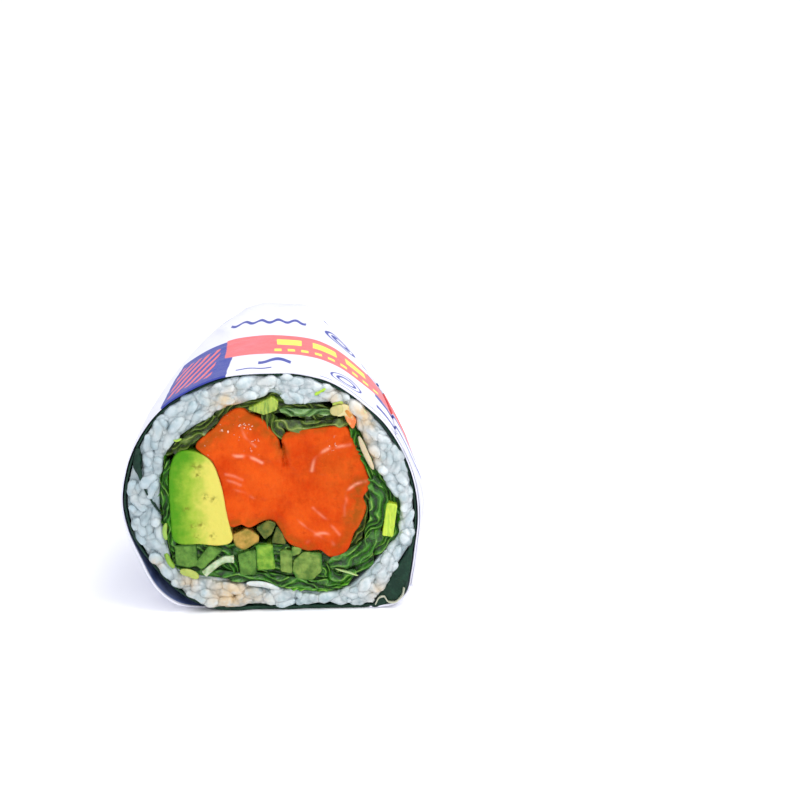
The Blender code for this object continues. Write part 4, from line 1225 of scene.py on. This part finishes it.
def scatter_grains(rice_map, length, width, layer, random):
    """Places, turns and tilts of one layer of grains that stay on the ring of rice.

    A dart that falls too near an earlier one is dropped. Each grain then takes, of some random
    turns, the first whose outline stays on the ring.
    """
    tries, apart, size_low, size_high = layer
    spots = random.uniform((-35.0, 0.0), (35.0, HEIGHT), (tries, 2))
    spots = spots[rice_map.at(spots) > width * GRAIN_ROOM]
    taken = np.zeros((0, 2))
    for spot in spots:
        if len(taken) == 0 or np.linalg.norm(taken - spot, axis=1).min() > apart:
            taken = np.vstack([taken, spot])
    count = len(taken)
    sizes = random.uniform(size_low, size_high, count)
    tilts = np.clip(np.abs(random.normal(0.0, 0.3, count)), 0, 1.1) * random.choice([-1, 1], count)
    turns = random.uniform(0, math.pi, (count, GRAIN_TURNS))
    sweep = np.linspace(0, 2 * math.pi, 12, endpoint=False)
    cosine = np.cos(turns)[..., None]
    sine = np.sin(turns)[..., None]
    half_length = (length * sizes * np.maximum(np.cos(tilts), 0.45))[:, None, None] / 2
    half_width = (width * sizes)[:, None, None] / 2
    x = cosine * np.cos(sweep) * half_length - sine * np.sin(sweep) * half_width
    z = sine * np.cos(sweep) * half_length + cosine * np.sin(sweep) * half_width
    outline = taken[:, None, None, :] + np.stack([x, z], axis=-1)
    room = rice_map.at(outline).min(axis=2)
    fits = room > -GRAIN_SLACK
    choice = np.where(fits.any(axis=1), fits.argmax(axis=1), room.argmax(axis=1))
    keep = room[np.arange(count), choice] > -GRAIN_LIMIT
    turn = turns[np.arange(count), choice]
    return taken[keep], turn[keep], tilts[keep], sizes[keep]


def stain_at(x, z):
    """How strongly the sauce has stained the rice at a place: the strongest of its bells."""
    whole = np.zeros(np.shape(x))
    for (at_x, at_z), reach, strength in STAINS:
        bell = strength * np.exp(-(((x - at_x) ** 2 + (z - at_z) ** 2) / reach**2))
        whole = np.maximum(whole, bell)
    return whole


def grain_grids(spots, turns, tilts, sizes, lifts, length, width, random):
    """Grains as pods: rings whose radius is the root of 1 - t^2.6 along a slightly bent line."""
    count = len(spots)
    level = np.cos(tilts)
    long_way = np.stack([np.cos(turns) * level, np.sin(tilts), np.sin(turns) * level], axis=-1)
    flat_way = np.stack([-np.sin(turns), np.zeros(count), np.cos(turns)], axis=-1)
    third_way = np.cross(long_way, flat_way)
    t = np.linspace(-1, 1, 10)
    lumps = 1 + 0.12 * np.sin(t * 4.2 + random.uniform(0, 6.3, count)[:, None])
    radius = (taper(10, 2.6) * lumps)[:, :, None]
    sweep = np.linspace(0, 2 * math.pi, 11)
    bend = random.uniform(-0.16, 0.16, count)
    stretch = sizes * random.uniform(0.86, 1.08, count)
    thick = sizes * random.uniform(0.88, 1.1, count)
    centre = np.stack([spots[:, 0], lifts, spots[:, 1]], axis=-1)
    along = t[None, :, None] * (length * stretch / 2)[:, None, None]
    flat = radius * np.cos(sweep) * (width * thick / 2)[:, None, None]
    flat = flat + (bend * width)[:, None, None] * (1 - t**2)[None, :, None]
    third = radius * np.sin(sweep) * (0.9 * width * thick / 2)[:, None, None]
    return (
        centre[:, None, None, :]
        + along[..., None] * long_way[:, None, None, :]
        + flat[..., None] * flat_way[:, None, None, :]
        + third[..., None] * third_way[:, None, None, :]
    )


GRAIN_LAYERS = [
    # tries, distance apart, smallest and largest size, least and greatest depth of the middle
    ((6000, 2.0, 0.90, 1.05), (0.95, 1.35)),
    ((6000, 2.2, 0.86, 1.06), (0.62, 1.0)),
    ((4000, 2.9, 0.82, 1.06), (0.32, 0.72)),
]


def make_rice(settings):
    """The rice: a lumpy core, and on its cut face three layers of grains at their true size."""
    outer = rice_outside(RICE_POINTS)
    inner = hollow_loop(RICE_POINTS)

    def relief(x, z):
        return 0.45 + 0.35 * layered_noise(x, z, 2.4, 31)

    lengths = (layer_length(PAPER + NORI + 2 * GAP), CAVITY_LENGTH)
    grid = wall(outer, inner, lengths, RICE_ENDS, RICE_FRONT, across_rows=34, relief=relief)
    stain = stain_at(grid[..., 0], grid[..., 2])
    # The core's rice is painted darker, as shade behind the grains
    skin(
        "rice_core", grid, rice_material(settings, "rice_core", 0.7), ["rice"],
        values={"tone": 0.4, "stain": stain},
    )
    random = np.random.default_rng(5)
    rice_map = RiceMap()
    length = settings.length / MM
    width = settings.width / MM
    grids = []
    tones = []
    for layer, lift in GRAIN_LAYERS:
        spots, turns, tilts, sizes = scatter_grains(rice_map, length, width, layer, random)
        lifts = random.uniform(*lift, len(spots)) + 1.2 * np.abs(np.sin(tilts))
        grids.append(grain_grids(spots, turns, tilts, sizes, lifts, length, width, random))
        tones.append(random.uniform(0.1, 1, len(spots)))
    grid = np.concatenate(grids)
    tones = np.concatenate(tones)
    stain = stain_at(grid[..., 0], grid[..., 2])
    skin(
        "rice_grains", grid, rice_material(settings, "rice_grains", 1.0),
        values={"tone": tones[:, None, None], "stain": stain},
    )
    return len(tones)


def bar_grid(loop, front, edge, relief, centre=None, radial=14):
    """A filling as one grid: front pole, cut face, rounded edge, sides and back pole.

    The edge is a quarter circle of that radius, and the relief fades over 3 mm behind the face.
    """
    middle = np.asarray(centre if centre is not None else loop[:-1].mean(axis=0), float)
    sections = []
    depths = []
    face = inset(loop, np.full(len(loop), edge))
    for share in np.linspace(0, 1, radial)[:-1]:
        sections.append(middle + (face - middle) * share)
        depths.append((front, 1.0))
    for angle in np.linspace(0, math.pi / 2, 6):
        sections.append(inset(loop, np.full(len(loop), edge * (1 - math.sin(angle)))))
        depths.append((front + edge * (1 - math.cos(angle)), 1.0))
    far = np.linspace(8.0, FILLING_END * FILLING_LENGTH, 22)
    for depth in np.concatenate([[0.8, 1.6, 2.4, 3.4, 5.0], far]):
        sections.append(loop)
        depths.append((front + edge + depth, max(0.0, 1 - depth / 3.0)))
    sections.append(np.broadcast_to(middle, loop.shape))
    depths.append((depths[-1][0], 0.0))
    section = np.array(sections)
    base = np.array(depths)
    depth = base[:, :1] + relief(section[..., 0], section[..., 1]) * base[:, 1:]
    return carry(section, depth, FILLING_LENGTH), section


def near_path(x, z, path, width):
    """A bell of the distance to a path: 1 on it and falling off over the width."""
    line = curve_through(path, 40, False)
    distance = np.full(np.shape(x), 1e9)
    for at_x, at_z in line:
        distance = np.minimum(distance, (x - at_x) ** 2 + (z - at_z) ** 2)
    return np.exp(-distance / width**2)


def make_salmon(settings):
    """The salmon: two moist lobes with a crack between them, shallow flakes, fatty lines, painted highlight
    streaks and painted glints.
    """
    loop = curve_through(SALMON, 361, True)
    notch = np.linalg.norm(loop - np.array(SALMON_NOTCH), axis=1)
    loop = inset(loop, -0.5 * (1 - np.exp(-((notch / 3.0) ** 2))))

    def relief(x, z):
        crack = 1.1 * near_path(x, z, SALMON_CRACK, 0.7)
        flakes = 0.2 * np.abs(np.sin(0.55 * (x + 0.6 * z) + 1.5 * noise(x, z, 9.0, 43)))
        ridges = sum(near_path(x, z, path, 0.8) for path in SALMON_FAT[:2])
        rough = 0.5 * (1 + layered_noise(x, z, 8.0, 41, 4)) + 0.14 * layered_noise(x, z, 1.7, 44, 2)
        return 0.15 + crack + flakes + rough - 0.2 * np.minimum(ridges, 1)

    grid, section = bar_grid(loop, front=-0.6, edge=0.65, relief=relief, centre=SALMON_HEART, radial=90)
    x, z = section[..., 0], section[..., 1]
    fat_and_highlight = sum(near_path(x, z, path, 0.36) for path in SALMON_FAT)
    # Painted highlight streaks join the fatty lines at less strength
    fat_and_highlight = fat_and_highlight + 0.4 * sum(near_path(x, z, path, 0.3) for path in SALMON_HIGHLIGHT_STREAKS)
    vary = smooth(0.55 + 0.8 * noise(x, z, 1.8, 47))
    brown_paths = np.zeros(x.shape)
    for path, width, strength in SALMON_BROWN:
        brown_paths = np.maximum(brown_paths, strength * near_path(x, z, path, width))
    # Where the painted glints go: the upper part of the salmon, in patches
    glint_area = smooth((z - 37.0) / 5.0) * smooth(0.5 + 1.2 * noise(x, z, 4.5, 48))
    skin(
        "salmon_flesh", grid, salmon_material(settings), ["salmon"],
        values={"fat_and_highlight": np.minimum(fat_and_highlight, 1) * vary, "brown_paths": brown_paths, "glint_area": glint_area},
    )


def make_avocado(settings):
    """The avocado slice: a gently crowned cut face with small dents at its specks."""
    loop = curve_through(AVOCADO, 181, True)
    loop = inset(loop, -0.35 - 0.5 * smooth((loop[:, 0] + 18.0) / 5.0))

    def relief(x, z):
        return 0.2 + 0.16 * layered_noise(x, z, 5.0, 51) + 0.03 * noise(x, z, 0.8, 53)

    grid, section = bar_grid(loop, front=-0.4, edge=0.6, relief=relief, radial=34)
    left = np.interp(section[..., 1], [17.4, 22.5, 30.7, 35.8, 39.2], [-22.4, -23.2, -23.4, -22.9, -20.0])
    flesh = np.clip((section[..., 0] - left) / 10.5, 0, 1)
    speck = np.zeros(section.shape[:2])
    for spot in AVOCADO_SPECKS:
        speck = np.maximum(speck, np.exp(-((section - np.array(spot)) ** 2).sum(-1) / 0.75**2))
    skin(
        "avocado_slice", grid, avocado_material(settings), ["avocado"],
        values={"flesh": flesh, "speck": speck},
    )


def rounded_loop(corners, radius, count):
    """A polygon with its corners cut back to that radius, as a closed loop of even points."""
    corners = np.asarray(corners, float)
    before = np.roll(corners, 1, axis=0) - corners
    after = np.roll(corners, -1, axis=0) - corners
    before /= np.linalg.norm(before, axis=1)[:, None]
    after /= np.linalg.norm(after, axis=1)[:, None]
    turn = np.linspace(0, 1, 7)[None, :, None]
    start = (corners + before * radius)[:, None]
    end = (corners + after * radius)[:, None]
    arcs = start * (1 - turn) ** 2 + 2 * corners[:, None] * turn * (1 - turn) + end * turn**2
    return even_points(np.vstack([arcs.reshape(-1, 2), arcs[0, :1]]), count)


def stick(name, corners, material, node, front, seed, radius, grow=0.25, rough=0.14):
    """A cut stick whose face is a little hollow and uneven."""
    loop = inset(rounded_loop(corners, radius, STICK_POINTS), np.full(STICK_POINTS, -grow))
    middle = loop[:-1].mean(axis=0)

    def relief(x, z):
        return rough * (0.7 + layered_noise(x + 9 * seed, z, 2.4, 60 + seed))

    grid, section = bar_grid(loop, front, edge=0.3, relief=relief, radial=12)
    reach = np.maximum(np.linalg.norm(loop - middle, axis=-1), 1e-6)
    face_share = np.linalg.norm(section - middle, axis=-1) / reach
    skin(name, grid, material, [node], values={"rim": smooth((face_share - 0.78) / 0.2)})


def make_cucumbers():
    """The cut cucumber sticks, each with the flesh of its kind."""
    kinds = {kind: cucumber_material(f"cucumber_{kind}", *codes) for kind, codes in CUCUMBER_KINDS.items()}
    for number, (kind, corners) in enumerate(CUCUMBERS, start=1):
        name = f"cucumber_stick_{number}"
        node = f"cucumber_{number}"
        stick(name, corners, kinds[kind], node, front=0.0, seed=number, radius=0.35)


def make_stalks(settings):
    """The pale green stalk at the right and the green piece above the salmon."""
    bright = stalk_material("stalk_bright", settings.stalk, "a4c42a")
    green = stalk_material("stalk_green", "a2b83c", "6c8e22")
    stick(
        "stalk_right", GREEN_STALK, bright, "green_stalk", front=-0.7, seed=21, radius=0.4, grow=0.1
    )
    stick("stalk_top", SCALLION, green, "scallion", front=-0.5, seed=22, radius=0.4, grow=0.1)


def sheet_line(path, columns):
    """A path as even points, with the distance along it and the way off it to its right."""
    line = curve_through(path, columns, False)
    run = np.linspace(0, 1, columns) * np.linalg.norm(np.diff(line, axis=0), axis=1).sum()
    return line, run, outward(line, closed=False)


def taper(count, power):
    """Shares of a width that is whole in the middle and nothing at both ends: the root of 1 - t^power."""
    return np.maximum(1 - np.abs(np.linspace(-1, 1, count)) ** power, 0.0) ** 0.5


def sheet_grid(path, thickness, front, side, end=FILLING_END, columns=120):
    """A thin sheet as a flattened tube: the path moved half a thickness each way, carried back.

    Side is the swing, cell and seed of the noise that moves the sheet off its path. Front is the
    depth of its front edge, and the swing, cell and seed of the noise on it, which fades behind it.
    """
    line, run, across = sheet_line(path, columns)
    depth = np.linspace(0, 1, SHEET_ROWS)[:, None] ** 1.7 * end * FILLING_LENGTH
    swing, cell, seed = side
    middle = line + across * (swing * noise(run[None, :], depth, cell, seed))[..., None]
    way = outward(middle, closed=False)
    start, swing, cell, seed = front
    edge = (start + swing * ripple(run, cell, seed)) * np.exp(-depth / 2.5)
    halves = (thickness / 2, -thickness / 2)
    near, far = (carry(middle + way * half, depth + edge, FILLING_LENGTH) for half in halves)
    grid = closed_tube(near, far)
    grid[0, :, 1] -= 0.12
    return grid


def leaf_bundle(path, half, fold, front, seed, rows=44, columns=200):
    """A bundle of folded leaf as one grid: outer side, folded front, inner side and back.

    Its front is a row of ridges, one each fold, that run along the path: a triangle wave of the
    distance off the path and of noise, with its crests in front. Both ends of the bundle taper.
    Also gives how near each point is to a crest, and how strong the painted highlight on that crest is there.
    """
    line, run, side = sheet_line(path, columns)
    wide = half * taper(columns, 5) * (1 + 0.25 * ripple(run, 2.2, seed))
    off = np.linspace(-1, 1, rows)[:, None] * wide
    along = np.broadcast_to(run, off.shape)
    wander = 1.3 * noise(along, off + 40, 5.0, seed + 1) + 0.5 * noise(along, off + 9, 1.9, seed + 2)
    phase = off / (fold * 1.35) + wander
    ridge = 1 - np.abs(2 * (phase % 1) - 1)
    depth = front + FOLD_DEPTH * (1 - ridge**1.3) + 0.35 * noise(along, off, 2.8, seed + 3)
    # Strength of the painted highlight along each crest
    bright = smooth(0.4 + 1.1 * noise(along, off, 1.7, seed + 4))
    back = np.linspace(0, 1, 14)[1:, None] ** 1.8
    last = FILLING_END * FILLING_LENGTH
    flanks = []
    for row in (0, -1):
        section = line + side * off[row][:, None]
        flanks.append(carry(section, depth[row] + (last - depth[row]) * back, FILLING_LENGTH))
    face = carry(line + side * off[..., None], depth, FILLING_LENGTH)
    grid = np.concatenate([flanks[0][::-1], face, flanks[1], flanks[0][-1:]])
    plain = np.zeros((len(back), columns))
    crest = np.concatenate([plain, ridge, plain, plain[:1]])
    # Painted highlight along the crests, where the bright share is high
    edge = np.concatenate([plain, ridge**10 * bright, plain, plain[:1]])
    return grid, crest, edge


def leaf_piece(name, bundle, materials, seed, replaced=()):
    """A piece made of one bundle of leaf, with the material of its kind."""
    *shape, kind = bundle
    grid, crest, edge = leaf_bundle(*shape, seed)
    skin(name, grid, materials[kind], replaced, values={"crest": crest, "edge": edge})


def make_leaves():
    """The lettuce: a folded bundle for each leaf, the smaller leaves and the lining of the hollow."""
    materials = {kind: lettuce_material(kind) for kind in LEAF_KINDS}
    for number, (node, bundle) in enumerate(LEAVES.items()):
        leaf_piece(node.replace("lettuce", "leaf"), bundle, materials, 100 + number, [node])
    for stem, seed, bundles in (("leaf_bit", 200, LEAF_BITS), ("leaf_lining", 300, LINING)):
        for number, bundle in enumerate(bundles):
            leaf_piece(f"{stem}_{number + 1}", bundle, materials, seed + number)


def make_slivers():
    """Thin slivers of leaf, radish and sauce that lie on the rice, with tapered ends."""
    width = taper(SLIVER_POINTS, 3)
    sweep = np.linspace(0, 2 * math.pi, 21)[:, None]
    for number, (path, half, code) in enumerate(SLIVERS, start=1):
        nodes = Nodes(f"sliver_{number}", Roughness=0.3, Subsurface_Weight=0.2, Subsurface_Scale=0.0015)
        colour = nodes.mix(nodes.noise(1.2), tuple(0.6 * part for part in tone(code)), code)
        material = nodes.finish(colour, relief=nodes.noise(0.8, 2.0), depth=0.12)
        line, _, side = sheet_line(path, SLIVER_POINTS)
        section = line + side * (half * width * np.cos(sweep))[..., None]
        lumps = 0.2 * noise(section[..., 0], section[..., 1], 2.0, number)
        depth = 0.1 - SLIVER_HIGH * width * np.sin(sweep) + lumps
        skin(f"sliver_{number}", carry(section, depth, FILLING_LENGTH), material)


def make_strip():
    """The pale strip at the lower left: a thin curved slice."""
    nodes = Nodes(
        "pale_flesh", Roughness=0.3, Subsurface_Weight=0.25, Subsurface_Scale=0.002, Coat_Weight=0.2
    )
    colour = nodes.mix(nodes.patches(2.0, 3.0, 0.35, 0.65), "c2d0b0", "7ea062")
    material = nodes.finish(colour, (1.0, 0.2, 0.4), nodes.noise(0.9, 2.0), 0.15)
    grid = sheet_grid(PALE_STRIP, 1.5, front=(-0.3, 0.3, 2.0, 99), side=(0.15, 2.0, 98))
    skin("pale_slice", grid, material, ["pale_strip"])


def make_sauce(settings):
    """The thick sauce at the top right of the fillings."""
    stick(
        "sauce_blob", SAUCE, sauce_material(settings), "sauce", front=-0.6, seed=31, radius=0.5,
        grow=0.2, rough=0.45,
    )


def area_light(name, place, target, size, power, colour):
    """A square light at a place, in metres, turned to a target."""
    light = bpy.data.lights.new(name, "AREA")
    light.size = size
    light.energy = power
    light.color = colour
    lamp = bpy.data.objects.new(name, light)
    lamp.location = place
    lamp.rotation_euler = (Vector(target) - Vector(place)).to_track_quat("-Z", "Y").to_euler()
    bpy.context.scene.collection.objects.link(lamp)


# Where the middle of the cut face stands in the frame of 800 pixels, and pixels per millimetre there
FACE_PIXEL = (271.0, 492.0)
FRAME_PIXELS = 800.0
PIXELS_PER_MM = 4.31
SENSOR = 36.0
FACE_CENTRE = (0.0, 0.0, 29.5)

# Light and floor, in metres
SKY_COLOUR = (0.95, 0.965, 1.0, 1.0)
SKY_STRENGTH = 1.08
KEY_PLACE = (0.3, -0.2, 0.7)
FRONT_PLACE = (0.15, -0.75, 0.45)
FLOOR_HALF = 6.0
FLOOR_DROP = 0.0001


def make_camera(settings):
    """The camera, turned so that the cut face's middle falls on its pixel without any roll."""
    focal = PIXELS_PER_MM * settings.distance / MM
    right = (FACE_PIXEL[0] - FRAME_PIXELS / 2) / focal
    up = -(FACE_PIXEL[1] - FRAME_PIXELS / 2) / focal
    elevation = settings.elevation
    tilt = math.atan(up) + math.asin(
        math.sin(elevation) * math.sqrt(1 + right**2 + up**2) / math.sqrt(1 + up**2)
    )
    yaw = -math.atan2(right, math.cos(tilt) + up * math.sin(tilt))
    forward = Vector((math.sin(yaw) * math.cos(tilt), math.cos(yaw) * math.cos(tilt), -math.sin(tilt)))
    lens = bpy.data.cameras.new("camera")
    lens.sensor_width = SENSOR
    lens.lens = SENSOR * focal / FRAME_PIXELS
    lens.clip_start = 0.01
    camera = bpy.data.objects.new("camera", lens)
    face = Vector(to_row(FACE_CENTRE))
    camera.location = face + settings.distance * Vector((0.0, -math.cos(elevation), math.sin(elevation)))
    camera.rotation_euler = forward.to_track_quat("-Z", "Y").to_euler()
    bpy.context.scene.collection.objects.link(camera)
    bpy.context.scene.camera = camera


def make_stage(settings):
    """A plain pale floor, soft studio light and the camera."""
    scene = bpy.context.scene
    scene.view_settings.view_transform = "Standard"
    world = bpy.data.worlds.new("studio")
    world.use_nodes = True
    sky = world.node_tree.nodes["Background"].inputs
    sky["Color"].default_value = SKY_COLOUR
    sky["Strength"].default_value = SKY_STRENGTH
    scene.world = world
    mesh = bpy.data.meshes.new("floor")
    corners = [(x * FLOOR_HALF, y * FLOOR_HALF, 0.0) for x, y in ((-1, -1), (1, -1), (1, 1), (-1, 1))]
    mesh.from_pydata(corners, [], [(0, 1, 2, 3)])
    floor = bpy.data.objects.new("floor", mesh)
    floor.location.z = -FLOOR_DROP
    nodes = Nodes("floor_white", Roughness=0.6, Specular_IOR_Level=0.2)
    mesh.materials.append(nodes.finish(nodes.mix(nodes.noise(60.0), "fbfbff", "ffffff")))
    scene.collection.objects.link(floor)
    face = to_row(FACE_CENTRE)
    area_light("key", KEY_PLACE, face, size=0.5, power=settings.key, colour=(1.0, 0.99, 0.97))
    area_light("front", FRONT_PLACE, face, size=0.6, power=settings.fill, colour=(1.0, 0.99, 0.98))
    make_camera(settings)


def ready(operator, context):
    """Stops an operator that runs before its settings are registered."""
    if not hasattr(context.scene, "burrito_paper"):
        raise RuntimeError(f"{operator.bl_label} needs the settings to be registered first")


class BURRITO_OT_paper(bpy.types.Operator):
    """Makes the printed paper wrap and its lapped end"""

    bl_idname = "burrito.paper"
    bl_label = "Paper wrap"

    def execute(self, context):
        ready(self, context)
        material = make_paper(context.scene.burrito_paper)
        make_flap(context.scene.burrito_paper, material)
        make_paper_fold()
        return {"FINISHED"}


class BURRITO_OT_seaweed(bpy.types.Operator):
    """Makes the seaweed sheet round the rice"""

    bl_idname = "burrito.seaweed"
    bl_label = "Seaweed"

    def execute(self, context):
        ready(self, context)
        make_seaweed(context.scene.burrito_paper)
        return {"FINISHED"}


class BURRITO_OT_rice(bpy.types.Operator):
    """Makes the rice core and its grains"""

    bl_idname = "burrito.rice"
    bl_label = "Rice"

    def execute(self, context):
        ready(self, context)
        if make_rice(context.scene.burrito_rice) < 100:
            raise RuntimeError("too few grains found room on the rice")
        return {"FINISHED"}


class BURRITO_OT_salmon(bpy.types.Operator):
    """Makes the salmon"""

    bl_idname = "burrito.salmon"
    bl_label = "Salmon"

    def execute(self, context):
        ready(self, context)
        make_salmon(context.scene.burrito_fillings)
        return {"FINISHED"}


class BURRITO_OT_vegetables(bpy.types.Operator):
    """Makes the avocado, the cucumber sticks, the stalks and the pale slice"""

    bl_idname = "burrito.vegetables"
    bl_label = "Vegetables"

    def execute(self, context):
        ready(self, context)
        make_avocado(context.scene.burrito_fillings)
        make_cucumbers()
        make_stalks(context.scene.burrito_fillings)
        make_strip()
        return {"FINISHED"}


class BURRITO_OT_leaves(bpy.types.Operator):
    """Makes the lettuce leaves"""

    bl_idname = "burrito.leaves"
    bl_label = "Lettuce"

    def execute(self, context):
        ready(self, context)
        make_leaves()
        make_slivers()
        return {"FINISHED"}


class BURRITO_OT_sauce(bpy.types.Operator):
    """Makes the sauce"""

    bl_idname = "burrito.sauce"
    bl_label = "Sauce"

    def execute(self, context):
        ready(self, context)
        make_sauce(context.scene.burrito_fillings)
        return {"FINISHED"}


class BURRITO_OT_stage(bpy.types.Operator):
    """Makes the floor, the lights and the camera"""

    bl_idname = "burrito.stage"
    bl_label = "Stage"

    def execute(self, context):
        ready(self, context)
        make_stage(context.scene.burrito_stage)
        return {"FINISHED"}


OPERATORS = [
    BURRITO_OT_paper, BURRITO_OT_seaweed, BURRITO_OT_rice, BURRITO_OT_salmon, BURRITO_OT_vegetables,
    BURRITO_OT_leaves, BURRITO_OT_sauce, BURRITO_OT_stage,
]
SETTINGS = {
    "burrito_paper": PaperSettings,
    "burrito_rice": RiceSettings,
    "burrito_fillings": FillingSettings,
    "burrito_stage": StageSettings,
}


class BURRITO_PT_panel(bpy.types.Panel):
    """Lists the settings and the steps that make the burrito."""

    bl_idname = "BURRITO_PT_panel"
    bl_label = "Sushi burrito"
    bl_space_type = "VIEW_3D"
    bl_region_type = "UI"
    bl_category = "Burrito"

    def draw(self, context):
        for key, group in SETTINGS.items():
            box = self.layout.box()
            for name in group.__annotations__:
                box.prop(getattr(context.scene, key), name)
        for operator in OPERATORS:
            self.layout.operator(operator.bl_idname)


def register():
    """Registers the settings, the operators and the panel."""
    for key, group in SETTINGS.items():
        bpy.utils.register_class(group)
        setattr(bpy.types.Scene, key, bpy.props.PointerProperty(type=group))
    for operator in OPERATORS:
        bpy.utils.register_class(operator)
    bpy.utils.register_class(BURRITO_PT_panel)


def unregister():
    """Takes everything that register added away again."""
    bpy.utils.unregister_class(BURRITO_PT_panel)
    for operator in reversed(OPERATORS):
        bpy.utils.unregister_class(operator)
    for key, group in SETTINGS.items():
        delattr(bpy.types.Scene, key)
        bpy.utils.unregister_class(group)


def main():
    """Runs every step in order."""
    register()
    bpy.ops.burrito.paper()
    bpy.ops.burrito.seaweed()
    bpy.ops.burrito.rice()
    bpy.ops.burrito.salmon()
    bpy.ops.burrito.vegetables()
    bpy.ops.burrito.leaves()
    bpy.ops.burrito.sauce()
    bpy.ops.burrito.stage()
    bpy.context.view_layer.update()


if __name__ == "__main__":
    main()
